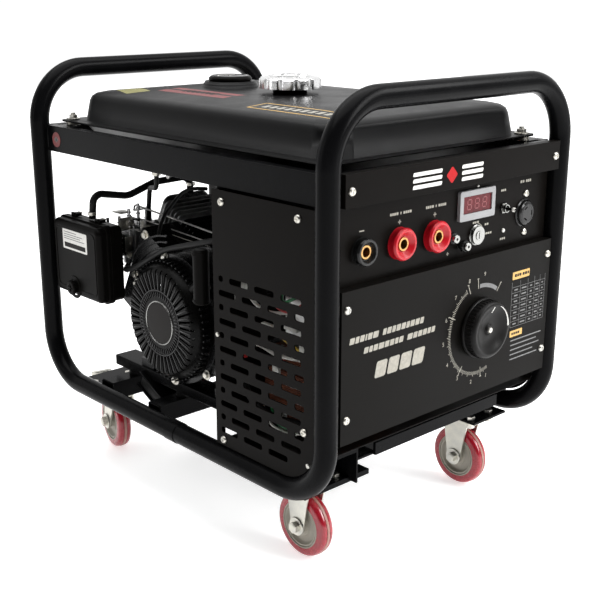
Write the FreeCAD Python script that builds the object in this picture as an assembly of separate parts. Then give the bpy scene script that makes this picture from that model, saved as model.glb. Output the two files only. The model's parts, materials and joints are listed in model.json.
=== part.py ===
"""Engine driven welder on four casters: a petrol engine turns a permanent magnet
alternator, and a control box at one short end feeds the weld sockets.

Frame of the model: +Z up, floor at z = 0, the control panel faces -Y and the recoil
starter faces -X.  Everything is drawn about the middle of the tube frame; emit() then
moves it so that the origin lies on the floor under the middle of the overall box.
"""
import FreeCAD, Part
import math
import os
from FreeCAD import Placement, Rotation, Vector

os.makedirs("parts", exist_ok=True)

X = Vector(1, 0, 0)
Y = Vector(0, 1, 0)
Z = Vector(0, 0, 1)

# ------------------------------------------------------------------ driving dimensions, mm
TUBE_R = 16.0            # outer radius of the frame tube
TUBE_BORE_R = 13.5
HALF_X = 244.4           # tube centre line, half the frame's width
HALF_Y = 350.7           # tube centre line, half the frame's length
RAIL_Z = 141.5           # tube centre line of the lower rails
TOP_Z = 677.0            # tube centre line of the handles
LOW_BEND = 85.0
TOP_BEND = 87.0

PANEL_HALF = 227.0       # panels fill the space between the uprights
LOWER_PANEL_Y = -360.0
SOCKET_PANEL_Y = -345.0
BROW_Y = -364.0
LOWER_PANEL_Z = (225.0, 437.0)
BOX_FLOOR_Z = (200.0, 202.0)
BROW_Z = (545.0, 588.0)
SIDE_COVER_X = -247.0
SIDE_COVER_Y = (-333.0, -121.0)
SIDE_COVER_Z = (160.0, 541.0)
SHEET = 2.0              # panel sheet thickness

RAIL_TOP_Z = (543.0, 586.0)
CROSS_TUBE_Z = (130.0, 160.0)
CROSS_TUBE_Y = (-241.0, 65.0, 204.0)
PAD_Z = (126.0, 130.0)
PAD_Y = (-293.0, -195.0, 316.0)   # front edge, inner reach either side, rear edge of the caster pads
BED_Z = (172.0, 190.0)

WHEEL_R = 50.0
WHEEL_HALF_W = 12.0
HUB_R = 36.0
AXLE_R = 5.0
FRONT_CASTER_X = 178.5
REAR_CASTER_X = 176.0
FRONT_CASTER_Y = -241.0
REAR_CASTER_Y = 254.0
TRAIL = 25.0             # swivel axis to wheel axle
REST_SWIVEL = {"left": -12.5, "right": 14.0}   # how far each rear caster stands turned, degrees

CRANK_Y, CRANK_Z = 50.0, 300.0
CYLINDER_TILT = 28.0     # cylinder leans up towards +Y, degrees above the horizontal
CRANK_R = 17.5
LINK_ARM = 28.0          # both ends of the governor rod sit this far from their pivots
GOVERNOR_PIVOT = (-112.0, 28.0, 400.0)
SHAFT_R = 14.0
RUN_FIT = 0.05           # radial clearance of running fits
FACE_GAP = 0.3           # gap between faces of pieces that move past each other

KNOB_X, KNOB_Z = 58.0, 330.0
KNOB_FRONT_Y = -384.0
KNOB_SHAFT_R = 4.0
SOCKET_FRONT_Y = -358.5

SHIFT_Y = -(HALF_Y + TUBE_R + KNOB_FRONT_Y) / 2


# ------------------------------------------------------------------ helpers
def box(x, y, z):
    """Block between the (low, high) pairs x, y and z."""
    return Part.makeBox(x[1] - x[0], y[1] - y[0], z[1] - z[0], Vector(x[0], y[0], z[0]))


def rod(start, direction, radius, length):
    return Part.makeCylinder(radius, length, Vector(*start), direction)


def ring(start, direction, outer, inner, length):
    return rod(start, direction, outer, length).cut(rod(start, direction, inner, length))


def hexagon(start, direction, across, height):
    """Hexagonal bolt head or nut."""
    polygon = [Vector(across / 2 / math.cos(math.pi / 6), 0, 0)]
    for k in range(1, 7):
        polygon.append(Rotation(Z, 60 * k).multVec(polygon[0]))
    solid = Part.Face(Part.makePolygon(polygon)).extrude(Vector(0, 0, height))
    solid.Placement = Placement(Vector(*start), Rotation(Z, direction))
    return solid


def fuse(first, *others):
    return first.fuse(list(others)).removeSplitter() if others else first


def soften(solid, axis, radius):
    """Round the straight edges of a block that run along one axis."""
    edges = [e for e in solid.Edges if abs(e.tangentAt(e.FirstParameter).dot(axis)) > 0.999]
    return solid.makeFillet(radius, edges)


def soften_all(solid, radius):
    return solid.makeFillet(radius, solid.Edges)


def bent_path(corners, radii):
    """Straight runs joined by tangent arcs, one radius for each inner corner."""
    edges = []
    start = corners[0]
    for k, radius in enumerate(radii, 1):
        before = (corners[k - 1] - corners[k]).normalize()
        after = (corners[k + 1] - corners[k]).normalize()
        half = before.getAngle(after) / 2
        enter = corners[k] + before * (radius / math.tan(half))
        leave = corners[k] + after * (radius / math.tan(half))
        crown = corners[k] + (before + after).normalize() * (radius / math.sin(half) - radius)
        edges.append(Part.LineSegment(start, enter).toShape())
        edges.append(Part.Arc(enter, crown, leave).toShape())
        start = leave
    edges.append(Part.LineSegment(start, corners[-1]).toShape())
    return Part.Wire(edges)


def pipe(corners, radii, outer, inner=0.0):
    """Round bar or tube along a bent path."""
    path = bent_path(corners, radii)
    along = corners[1] - corners[0]

    def sweep(radius):
        return path.makePipe(Part.Face(Part.Wire(Part.makeCircle(radius, corners[0], along))))

    solid = sweep(outer)
    return solid.cut(sweep(inner)).Solids[0] if inner else solid


def turned(profile, centre, axis):
    """Solid of revolution; profile is a list of (distance along axis, radius)."""
    points = [Vector(r, 0, along) for along, r in profile]
    solid = Part.Face(Part.makePolygon(points + points[:1])).revolve(Vector(), Z, 360)
    solid.Placement = Placement(Vector(*centre), Rotation(Z, axis))
    return solid


def mirrored(solid):
    return solid.mirror(Vector(), X)


def emit(name, *solids):
    """Write one node, moved into the object's own frame."""
    pieces = []
    for solid in solids:
        pieces.extend(solid.Solids)
    shape = pieces[0] if len(pieces) == 1 else Part.makeCompound(pieces)
    shape = shape.copy()
    shape.translate(Vector(0, SHIFT_Y, 0))
    if not shape.isValid():
        print("invalid shape:", name)
    shape.exportStep("parts/" + name + ".step")


# ------------------------------------------------------------------ tube frame
def hoop(side):
    """One bent tube: half of both lower rails, two uprights and the handle across the top."""
    y = side * HALF_Y
    corners = [Vector(-HALF_X, 0, RAIL_Z), Vector(-HALF_X, y, RAIL_Z),
               Vector(-HALF_X, y, TOP_Z), Vector(HALF_X, y, TOP_Z),
               Vector(HALF_X, y, RAIL_Z), Vector(HALF_X, 0, RAIL_Z)]
    return pipe(corners, [LOW_BEND, TOP_BEND, TOP_BEND, LOW_BEND], TUBE_R, TUBE_BORE_R)


def make_hoops():
    swage_length, swage_extra, spigot_length = 26.0, 1.0, 40.0
    front, rear = hoop(-1), hoop(1)
    for x in (-HALF_X, HALF_X):
        swage = ring((x, -swage_length, RAIL_Z), Y, TUBE_R + swage_extra, TUBE_BORE_R, swage_length)
        front = fuse(front, swage)
        spigot = ring((x, -spigot_length, RAIL_Z), Y, TUBE_BORE_R - 0.1, 11.0, spigot_length + 8)
        sleeve = ring((x, 0, RAIL_Z), Y, TUBE_BORE_R + 0.5, 11.0, 8)
        rear = fuse(rear, spigot, sleeve)
    emit("frame_hoop_front", front)
    emit("frame_hoop_rear", rear)


def channel(x, y, z, wall, opening):
    """Rolled channel: a block with a slot; opening is the (axis, sign) that the slot faces."""
    inner = {"x": list(x), "y": list(y), "z": list(z)}
    run = max(("x", "y", "z"), key=lambda a: inner[a][1] - inner[a][0])
    axis, sign = opening
    for name in inner:
        if name not in (run, axis):
            inner[name][0] += wall
            inner[name][1] -= wall
    inner[axis][0] += wall if sign > 0 else -wall
    inner[axis][1] += wall if sign > 0 else -wall
    return box(x, y, z).cut(box(inner["x"], inner["y"], inner["z"]))


TANK_BOLT = (204.0, 309.0)


def make_top_rails():
    side_y, end_y = 334.0, 350.0
    wall, depth = 2.5, 18.0
    web_x = 240.0
    left = channel((-web_x, -web_x + depth), (-side_y, side_y), RAIL_TOP_Z, wall, ("x", 1))
    inward, outward = 8.5, 16.0      # how far each bolt tab reaches from its bolt
    for side in (-1, 1):
        tab_y = sorted((side * (TANK_BOLT[1] - inward), side * (TANK_BOLT[1] + outward)))
        tab = box((-web_x + depth, -TANK_BOLT[0] + inward), tab_y, (RAIL_TOP_Z[1] - wall, RAIL_TOP_Z[1]))
        left = fuse(left, tab)
    front = channel((-PANEL_HALF, PANEL_HALF), (-end_y, -side_y), RAIL_TOP_Z, wall, ("y", 1))
    rear = channel((-PANEL_HALF, PANEL_HALF), (side_y, end_y), RAIL_TOP_Z, wall, ("y", -1))
    emit("top_rails", left, mirrored(left), front, rear)


def front_bracket(web_x, channel_front):
    """Angle that carries the front end of the left channel down to its caster pad."""
    wall = 3.0
    flange = box((-190.0, web_x), (channel_front, channel_front + wall), (173.5, BOX_FLOOR_Z[0]))
    web = box((web_x, web_x + wall), (channel_front, -256.0), (PAD_Z[1], CROSS_TUBE_Z[1]))
    toe = box((web_x, web_x + wall), (channel_front, PAD_Y[0]), (PAD_Z[0] - 1, PAD_Z[1]))
    return fuse(flange, web, toe)


def make_base_frame():
    """Welded floor frame: cross tubes, lengthwise channels, a front bar and caster pads."""
    pieces = []
    inside = HALF_X - TUBE_R - 0.1
    for y in CROSS_TUBE_Y:
        outer = box((-inside, inside), (y - 15, y + 15), CROSS_TUBE_Z)
        hollow = box((-inside, inside), (y - 12.5, y + 12.5), (CROSS_TUBE_Z[0] + 2.5, CROSS_TUBE_Z[1] - 2.5))
        pieces.append(outer.cut(hollow))
    channel_x, channel_y = (101.0, 141.0), (-307.0, -80.0)
    for side in (-1, 1):
        x = sorted((side * channel_x[0], side * channel_x[1]))
        pieces.append(channel(x, channel_y, (CROSS_TUBE_Z[1], BOX_FLOOR_Z[0]), 3.0, ("x", -side)))
        rear_pad_x = sorted((side * 113.0, side * inside))
        pieces.append(box(rear_pad_x, (-PAD_Y[1], PAD_Y[2]), PAD_Z))
    left_pad_x, right_pad_x = (-inside, -100.0), (146.0, inside)
    for x in (left_pad_x, right_pad_x):
        pieces.append(box(x, PAD_Y[:2], PAD_Z))
    pieces.append(box(left_pad_x, (PAD_Y[0], PAD_Y[0] + 4), (PAD_Z[0] - 4, PAD_Z[0])))
    pieces.append(front_bracket(-channel_x[1], channel_y[0]))
    pieces.append(box((-107.0, 176.0), (channel_y[0] - 5, channel_y[0]), (CROSS_TUBE_Z[1], 179.0)))
    frame = fuse(*pieces)
    for centre in caster_centres():
        for x, y in bolt_places(*centre):
            frame = frame.cut(rod((x, y, PAD_Z[0] - 1), Z, BOLT_HOLE_R, 6))
    emit("base_frame", frame)


CASTER_BOLT = (36.0, 22.5)         # half spacing of the bolts, long way and short way
CASTER_PLATE = (47.0, 33.0)        # half sides of the plate, long way and short way
BOLT_HOLE_R = 4.1


def caster_centres():
    return [(-FRONT_CASTER_X, FRONT_CASTER_Y), (FRONT_CASTER_X, FRONT_CASTER_Y),
            (-REAR_CASTER_X, REAR_CASTER_Y), (REAR_CASTER_X, REAR_CASTER_Y)]


def laid(measures, cy):
    """Long and short measures as (x, y): the front plates lie lengthwise, the rear ones crosswise."""
    return measures if cy > 0 else measures[::-1]


def bolt_places(cx, cy):
    reach_x, reach_y = laid(CASTER_BOLT, cy)
    return [(cx + dx, cy + dy) for dx in (-reach_x, reach_x) for dy in (-reach_y, reach_y)]


def make_base_bolts():
    bolts = []
    for centre in caster_centres():
        for x, y in bolt_places(*centre):
            shank = rod((x, y, 114.0), Z, 4.0, 16.2)
            head = hexagon((x, y, PAD_Z[1]), Z, 13.0, 5.5)
            nut = hexagon((x, y, 115.6), Z, 13.0, 6.4)
            bolts.append(fuse(shank, head, nut))
    emit("base_bolts", *bolts)


# ------------------------------------------------------------------ casters
PLATE_Z = (122.0, 126.0)
KINGPIN_R = 6.0


def caster_plate(cx, cy, swivels):
    half_x, half_y = laid(CASTER_PLATE, cy)
    plate = soften(box((cx - half_x, cx + half_x), (cy - half_y, cy + half_y), PLATE_Z), Z, 8)
    for x, y in bolt_places(cx, cy):
        plate = plate.cut(rod((x, y, PLATE_Z[0] - 2), Z, BOLT_HOLE_R, 8))
    if swivels:
        pin = rod((cx, cy, 103.0), Z, KINGPIN_R, 20)
        head = rod((cx, cy, 101.0), Z, 9.0, 6.6)
        plate = fuse(plate, pin, head)
    return plate


def cheek(x0, top_half, top_z, axle_y):
    """Side plate of a fork, tapering from its top edge to the round eye at the axle."""
    eye_r, thick = 12.0, 3.0
    outline = [Vector(x0, -top_half, top_z), Vector(x0, top_half, top_z),
               Vector(x0, axle_y + eye_r, WHEEL_R + 3), Vector(x0, axle_y - eye_r, WHEEL_R + 3)]
    plate = Part.Face(Part.makePolygon(outline + outline[:1])).extrude(Vector(thick, 0, 0))
    return fuse(plate, rod((x0, axle_y, WHEEL_R), X, eye_r, thick))


def axle(axle_y):
    shank = rod((-18.5, axle_y, WHEEL_R), X, AXLE_R, 37)
    head = hexagon((-23.0, axle_y, WHEEL_R), X, 15.0, 5.7)
    nut = hexagon((17.3, axle_y, WHEEL_R), X, 15.0, 6.5)
    return fuse(shank, head, nut)


def brake_pedal(crown_z):
    """Foot tab of a swivel fork, above the trailing side of the wheel."""
    arm = box((-9, 9), (20, 62), crown_z)
    pad = soften(box((-18, 18), (56, 98), (crown_z[1] - 0.5, crown_z[1] + 2.5)), Z, 6)
    lip = box((-12, 12), (95, 98), (crown_z[1], crown_z[1] + 9))
    return fuse(arm, pad, lip)


def fork(swivels):
    """Fork about its own mounting axis; a swivel fork trails its wheel towards +Y."""
    inner = WHEEL_HALF_W + 2.3
    axle_y = TRAIL if swivels else 0.0
    top = PLATE_Z[0] - (10.0 if swivels else 0.0)
    crown = box((-inner - 3, inner + 3), (-25, 25), (top - 3, top))
    body = fuse(crown, cheek(-inner - 3, 25.0, top, axle_y), cheek(inner, 25.0, top, axle_y))
    if swivels:
        body = fuse(body, rod((0, 0, top - 1), Z, 23.0, PLATE_Z[0] - FACE_GAP - top + 1), brake_pedal((top - 3, top)))
        body = body.cut(rod((0, 0, 100), Z, KINGPIN_R + RUN_FIT, 30))
    for side in (-1, 1):
        start = side * (inner + 1.5) - 3
        body = body.cut(rod((start, axle_y, WHEEL_R), X, AXLE_R, 6))
    return body


def wheel(axle_y):
    """Plastic hub with a thin web, and the urethane tyre around it."""
    half = WHEEL_HALF_W
    bore = AXLE_R + RUN_FIT
    hub = turned([(-half - 2, bore), (-half - 2, 11), (-5, 13), (-4, 29), (-half + 1, 31), (-half + 1, HUB_R),
                  (half - 1, HUB_R), (half - 1, 31), (4, 29), (5, 13), (half + 2, 11), (half + 2, bore)],
                 (0, axle_y, WHEEL_R), X)
    tyre = turned([(-half, HUB_R), (-half, 45), (-half + 2.5, 48.4), (-5, WHEEL_R), (5, WHEEL_R),
                   (half - 2.5, 48.4), (half, 45), (half, HUB_R)], (0, axle_y, WHEEL_R), X)
    return [hub, tyre]


def stand(solids, cx, cy, turn=0.0):
    """Put a caster's pieces at their place, turned about the swivel axis."""
    place = Placement(Vector(cx, cy, 0), Rotation(Z, turn))
    moved = []
    for solid in solids:
        copy = solid.copy()
        copy.Placement = place.multiply(copy.Placement)
        moved.append(copy)
    return moved


def make_casters():
    plates = [caster_plate(cx, cy, cy > 0) for cx, cy in caster_centres()]
    emit("caster_plates", *plates)
    front_forks = []
    for name, side in (("left", -1), ("right", 1)):
        front = (side * FRONT_CASTER_X, FRONT_CASTER_Y)
        rear = (side * REAR_CASTER_X, REAR_CASTER_Y, REST_SWIVEL[name])
        front_forks += stand([fork(False), axle(0.0)], *front)
        emit("wheel_front_" + name, *stand(wheel(0.0), *front))
        emit("fork_rear_" + name, *stand([fork(True), axle(TRAIL)], *rear))
        emit("wheel_rear_" + name, *stand(wheel(TRAIL), *rear))
    emit("caster_forks_front", *front_forks)


# ------------------------------------------------------------------ engine
BED_X = ((-189.0, -146.0), (10.0, 53.0), (100.0, 156.0))
BED_Y = (-75.0, 240.0)
CASE_X = (-118.0, 52.0)


def make_engine_bed():
    bed = [channel(x, BED_Y, BED_Z, 4.0, ("z", -1)) for x in BED_X]
    emit("engine_bed", *bed)
    mounts = []
    for x in BED_X:
        for y in CROSS_TUBE_Y[1:]:
            centre = ((x[0] + x[1]) / 2, y, CROSS_TUBE_Z[1])
            mounts.append(rod(centre, Z, 15.0, BED_Z[1] - 4.0 - CROSS_TUBE_Z[1]))
    emit("rubber_mounts", *mounts)


def along_cylinder(solid):
    """Swing a solid drawn with its cylinder along +Y up to the real cylinder's tilt."""
    copy = solid.copy()
    copy.rotate(Vector(0, CRANK_Y, CRANK_Z), X, CYLINDER_TILT)
    return copy


def upright_block(x, u, w):
    """Block given along the cylinder axis: u from the crankshaft, w across it."""
    return box(x, (CRANK_Y + u[0], CRANK_Y + u[1]), (CRANK_Z + w[0], CRANK_Z + w[1]))


def finned(x, w, first, last, count, reach):
    """Row of cooling fins round the cylinder, standing out by reach."""
    step = (last - first) / (count - 1)
    fins = []
    for k in range(count):
        u = first + k * step
        fin = upright_block((x[0] - reach, x[1] + reach), (u - 1.2, u + 1.2), (w[0] - reach, w[1] + reach))
        fins.append(soften(fin, Y, 10))
    return fins


def make_crankcase():
    wall = 8.0
    case_y, case_z = (-60.0, 150.0), (BED_Z[1], 392.0)
    block = soften(box(CASE_X, case_y, case_z), X, 24)
    barrel = along_cylinder(fuse(upright_block((-88, 40), (80, 160), (-58, 58)),
                                 *finned((-88, 40), (-58, 58), 112, 152, 5, 9)))
    feet = [box((BED_X[0][0] + 4, BED_X[1][1]), y, (BED_Z[1], BED_Z[1] + 14))
            for y in ((-72.0, -38.0), (130.0, 164.0))]
    pivot_post = box((-108.0, -96.0), (GOVERNOR_PIVOT[1] - 8, GOVERNOR_PIVOT[1] + 8), (case_z[1] - 1, 408.0))
    oil_filler = rod((-60.0, -52.0, 212.0), Vector(0, -0.8, 0.6), 13.0, 30)
    case = fuse(block, barrel, oil_filler, pivot_post, *feet)
    inside = box((CASE_X[0] + wall, CASE_X[1] - wall), (case_y[0] + wall, case_y[1] - wall),
                 (case_z[0] + wall, case_z[1] - wall))
    case = case.cut(inside)
    case = case.cut(rod((CASE_X[0] - 1, CRANK_Y, CRANK_Z), X, CRANK_R + RUN_FIT, CASE_X[1] - CASE_X[0] + 2))
    case = case.cut(along_cylinder(rod((-24.0, CRANK_Y + 60, CRANK_Z), Y, 44.0, 101)))
    case = case.cut(rod((-60.0, -40.0, 203.0), Vector(0, -0.8, 0.6), 9.0, 60))
    case = case.cut(rod((-110.0,) + GOVERNOR_PIVOT[1:], X, 4.0 + RUN_FIT, 16))
    emit("crankcase", case)


PORT_U, PORT_W = 198.0, -8.0
HEAD_PORT_X = (-100.0, 53.0)


def on_cylinder(u, w):
    """The (y, z) of a point u along the tilted cylinder's axis and w across it."""
    c, s = math.cos(math.radians(CYLINDER_TILT)), math.sin(math.radians(CYLINDER_TILT))
    return CRANK_Y + u * c - w * s, CRANK_Z + u * s + w * c


def make_cylinder_head():
    block = upright_block((-88, 40), (160, 214), (-58, 58))
    head = fuse(block, *finned((-88, 40), (-58, 58), 166, 206, 5, 9))
    port_y, port_z = CRANK_Y + PORT_U, CRANK_Z + PORT_W
    head = fuse(head, rod((HEAD_PORT_X[0], port_y, port_z), X, 16.0, 14),
                rod((HEAD_PORT_X[1] - 14, port_y, port_z), X, 16.0, 14))
    head = head.cut(rod((HEAD_PORT_X[0] - 1, port_y, port_z), X, 11.0, 40))
    head = head.cut(rod((HEAD_PORT_X[1] + 1, port_y, port_z), X * -1, 12.0, 45))
    head = head.cut(rod((-24.0, CRANK_Y + 159, CRANK_Z), Y, 44.0, 14))
    head = head.cut(rod((0.0, CRANK_Y + 186, CRANK_Z + 58), Z, 13.0, 12))
    emit("cylinder_head", along_cylinder(head))
    cover = upright_block((-72, 24), (214, 246), (-50, 50))
    cover = soften(cover, Y, 16)
    cover = cover.makeFillet(8, [e for e in cover.Edges if e.CenterOfMass.y > CRANK_Y + 244])
    rim = soften(upright_block((-78, 30), (214, 218), (-56, 56)), Y, 18)
    emit("valve_cover", along_cylinder(fuse(cover, rim)))
    hexnut = hexagon((0.0, CRANK_Y + 186, CRANK_Z + 58), Z, 20.0, 9.0)
    insulator = rod((0.0, CRANK_Y + 186, CRANK_Z + 66), Z, 7.0, 20)
    boot = rod((0.0, CRANK_Y + 186, CRANK_Z + 78), Z, 10.0, 26)
    emit("spark_plug", along_cylinder(fuse(hexnut, insulator, boot)))


SHROUD_R = 106.0
SHROUD_X = (-192.0, -122.0)


def shroud_outline(shrink, x):
    """Round fan housing that runs out into a duct over the cylinder, as one solid."""
    drum = rod((x[0], CRANK_Y, CRANK_Z), X, SHROUD_R - shrink, x[1] - x[0])
    duct = upright_block(x, (0, 138 - shrink), (-70 + shrink, 80 - shrink))
    return fuse(drum, along_cylinder(duct))


def make_shroud():
    shell = shroud_outline(0.0, SHROUD_X).cut(shroud_outline(SHEET, (SHROUD_X[0] + SHEET, SHROUD_X[1] + 1)))
    shell = shell.cut(rod((SHROUD_X[0] - 1, CRANK_Y, CRANK_Z), X, 84.0, 10))
    emit("fan_shroud", shell)


RECOIL_X = (-224.0, -192.0)
RECOIL_RIM_R = 98.0
PULLEY_R = 44.0
PULLEY_X = (-214.0, -204.0)


def make_recoil():
    """Domed recoil cover with radial air slots, its centre post and rope guide."""
    front, back = RECOIL_X
    dome = turned([(back, RECOIL_RIM_R), (back - 8, 96.5), (-214, 91), (front + 1.5, 84), (front, 80),
                   (front, 0), (front + 2, 0), (front + 2, 79), (front + 3.5, 82.5), (-212.5, 89.5),
                   (back - 7, 94.5), (back, 95.5)], (0, CRANK_Y, CRANK_Z), X)
    slot = box((front - 2, back - 9), (CRANK_Y + 52, CRANK_Y + 86), (CRANK_Z - 1.7, CRANK_Z + 1.7))
    slots = []
    for k in range(40):
        cut = slot.copy()
        cut.rotate(Vector(0, CRANK_Y, CRANK_Z), X, 9 * k + 4.5)
        slots.append(cut)
    dome = dome.cut(Part.makeCompound(slots))
    post = rod((front + 1, CRANK_Y, CRANK_Z), X, 6.0, PULLEY_X[1] - front + 4)
    guide = rod((-206.0, -18.0, 366.0), Vector(0, -0.83, 0.55), 8.0, 44)
    mouth = rod((-211.5, -47.0, 386.0), X, 9.0, 8)
    emit("recoil_cover", fuse(dome, post, guide, mouth))
    groove = 3.0
    pulley = turned([(PULLEY_X[0], 6.0 + RUN_FIT), (PULLEY_X[0], PULLEY_R), (-211.5, PULLEY_R),
                     (-210.5, PULLEY_R - groove), (-207.5, PULLEY_R - groove), (-206.5, PULLEY_R),
                     (PULLEY_X[1], PULLEY_R), (PULLEY_X[1], 6.0 + RUN_FIT)], (0, CRANK_Y, CRANK_Z), X)
    emit("recoil_pulley", pulley)


GRIP_CENTRE = (-224.5, -63.0, 398.0)


def make_starter_grip():
    half, radius = 42.0, 12.5
    x, y, z = GRIP_CENTRE
    grip = turned([(-half, 0), (-half, radius - 3), (-half + 3, radius), (half - 3, radius),
                   (half, radius - 3), (half, 0)], (x, y, z), Z)
    stem = rod((x + 7, y + 14, z - 12), Vector(0, -1, 0), 3.0, 8)
    emit("starter_grip", fuse(grip, stem))


def make_rotating():
    """Crankshaft with its webs, the flywheel fan and the alternator's magnet rotor."""
    centre = (0, CRANK_Y, CRANK_Z)
    shaft = turned([(-186, 0), (-186, SHAFT_R), (-130, SHAFT_R), (-130, CRANK_R), (-66, CRANK_R), (-66, 58),
                    (-50, 58), (-50, 22), (0, 22), (0, 58), (16, 58), (16, CRANK_R), (60, CRANK_R),
                    (60, SHAFT_R), (182, SHAFT_R), (182, 0)], centre, X)
    emit("crankshaft", shaft)
    disc = turned([(-152, SHAFT_R), (-152, 92), (-142, 92), (-142, 70), (-134, 66), (-134, SHAFT_R)], centre, X)
    blade = box((-182.0, -150.0), (CRANK_Y + 52, CRANK_Y + 90), (CRANK_Z - 1.5, CRANK_Z + 1.5))
    blades = []
    for k in range(18):
        copy = blade.copy()
        copy.rotate(Vector(*centre), X, 20 * k)
        blades.append(copy)
    cup = ring((-190, CRANK_Y, CRANK_Z), X, 34.0, 31.0, 40)
    emit("flywheel_fan", fuse(disc, cup, *blades))
    rotor = turned([(76, SHAFT_R), (76, 76), (172, 76), (172, 70), (84, 70), (84, SHAFT_R)], centre, X)
    emit("alternator_rotor", rotor)


ALTERNATOR_X = (54.0, 196.0)
ALTERNATOR_R = 108.0


def make_alternator():
    """Finned stator housing between the crankcase and a vented end cover."""
    x0, x1 = ALTERNATOR_X
    centre = (0, CRANK_Y, CRANK_Z)
    body = turned([(x0, 24), (x0, 100), (x0 + 8, ALTERNATOR_R), (x1 - 8, ALTERNATOR_R), (x1, 98), (x1, 20),
                   (x1 - 5, 20), (x1 - 5, 100), (160, 100), (160, 80), (90, 80), (90, 100),
                   (x0 + 8, 100), (x0 + 8, 24)], centre, X)
    cuts = []
    for k in range(20):
        vent = box((x1 - 7, x1 + 1), (CRANK_Y + 44, CRANK_Y + 88), (CRANK_Z - 4, CRANK_Z + 4))
        vent.rotate(Vector(*centre), X, 18 * k)
        cuts.append(vent)
    body = body.cut(Part.makeCompound(cuts))
    bearing = turned([(x1 - 16, SHAFT_R + RUN_FIT), (x1 - 16, 24), (x1, 24), (x1, SHAFT_R + RUN_FIT)], centre, X)
    foot = box(BED_X[2], (20.0, 80.0), (BED_Z[1], BED_Z[1] + 14))
    foot = foot.cut(rod((60, CRANK_Y, CRANK_Z), X, ALTERNATOR_R - 1, 130))
    emit("alternator_housing", fuse(body, bearing, foot))


# ------------------------------------------------------------------ intake, exhaust and controls
AIR_Y = (186.0, 331.0)
AIR_Z = (302.0, 430.0)
AIR_FRONT_X = -245.0
AIR_SPLIT_X = -222.0
AIR_BACK_X = -198.0
AIR_KNOB = (266.0, 318.0)
CARB_Y, CARB_Z = on_cylinder(PORT_U, PORT_W)


def make_air_cleaner():
    wall = 2.5
    tray_x = (AIR_SPLIT_X, AIR_BACK_X)
    tray = soften(box(tray_x, AIR_Y, AIR_Z), X, 12)
    pocket = soften(box((tray_x[0] - 1, tray_x[1] - wall), (AIR_Y[0] + wall, AIR_Y[1] - wall),
                        (AIR_Z[0] + wall, AIR_Z[1] - wall)), X, 10)
    rim = soften(box((AIR_SPLIT_X, AIR_SPLIT_X + 5), (AIR_Y[0] - 3, AIR_Y[1] + 3), (AIR_Z[0] - 3, AIR_Z[1] + 3)),
                 X, 14)
    elbow = rod((tray_x[1] - 1, CARB_Y, CARB_Z), X, 18.0, CARB_X[0] - tray_x[1] + 1)
    base = fuse(tray, rim, elbow).cut(pocket).cut(rod((tray_x[1] - 6, CARB_Y, CARB_Z), X, 15.0, 40))
    emit("air_cleaner_base", base)
    front, back = AIR_FRONT_X, AIR_SPLIT_X - FACE_GAP
    shell = soften(box((front, back), AIR_Y, AIR_Z), X, 12)
    shell = shell.makeFillet(9, [e for e in shell.Edges if e.CenterOfMass.x < front + 0.1])
    lip = soften(box((back - 6, back), (AIR_Y[0] - 3, AIR_Y[1] + 3), (AIR_Z[0] - 3, AIR_Z[1] + 3)), X, 14)
    hollow = soften(box((front + wall, back + 1), (AIR_Y[0] + wall, AIR_Y[1] - wall),
                        (AIR_Z[0] + wall, AIR_Z[1] - wall)), X, 10)
    hollow = hollow.makeFillet(7, [e for e in hollow.Edges if e.CenterOfMass.x < front + wall + 0.1])
    boss = rod((front - 6,) + AIR_KNOB, X, 11.0, 14)
    emit("air_cleaner_cover", fuse(shell, lip, boss).cut(hollow.cut(boss)))


CARB_X = (-168.0, -100.0)
THROTTLE_X = -116.0
CHOKE_X = -152.0
LEVER_Z = CARB_Z + 56.0
CHOKE_Z = CARB_Z + 44.0


def lever(x, y, z, length, toward, stub):
    """Flat lever on a vertical shaft; toward is the direction in which its arm points."""
    arm = box((-4.0, length), (-4.0, 4.0), (0.0, 2.5))
    arm = soften(arm, Z, 3)
    shaft = rod((0, 0, -stub), Z, 3.0, stub + 4)
    solid = fuse(arm, shaft)
    solid.Placement = Placement(Vector(x, y, z), Rotation(X, toward))
    return solid


def make_carburettor():
    y = CARB_Y
    x0, x1 = CARB_X
    throat = rod((x0, y, CARB_Z), X, 17.0, x1 - x0)
    choke_end = soften(box((x0, x0 + 5), (y - 22, y + 22), (CARB_Z - 20, CARB_Z + 20)), X, 8)
    head_end = soften(box((x1 - 5, x1), (y - 24, y + 24), (CARB_Z - 20, CARB_Z + 20)), X, 8)
    block = soften(box((x0 + 8, x1 - 8), (y - 22, y + 18), (CARB_Z - 14, CARB_Z + 36)), X, 5)
    bowl = rod((-134.0, y, CARB_Z - 44), Z, 20.0, 32)
    drain = hexagon((-134.0, y, CARB_Z - 50), Z, 11.0, 7.0)
    body = fuse(throat, choke_end, head_end, block, bowl, drain)
    shafts = ((THROTTLE_X, LEVER_Z), (CHOKE_X, CHOKE_Z))
    for x, z in shafts:
        body = fuse(body, rod((x, y, CARB_Z + 30), Z, 6.0, z - CARB_Z - 30 - FACE_GAP))
    body = body.cut(rod((x0 - 1, y, CARB_Z), X, 11.0, x1 - x0 + 2))
    for x, z in shafts:
        body = body.cut(rod((x, y, z - 14), Z, 3.0 + RUN_FIT, 30))
    emit("carburettor", body)
    emit("throttle_lever", lever(THROTTLE_X, y, LEVER_Z, LINK_ARM + 2, Vector(-1, 0, 0), 12))
    emit("choke_lever", lever(CHOKE_X, y, CHOKE_Z, 34.0, Vector(0, -1, 0), 12))


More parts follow.
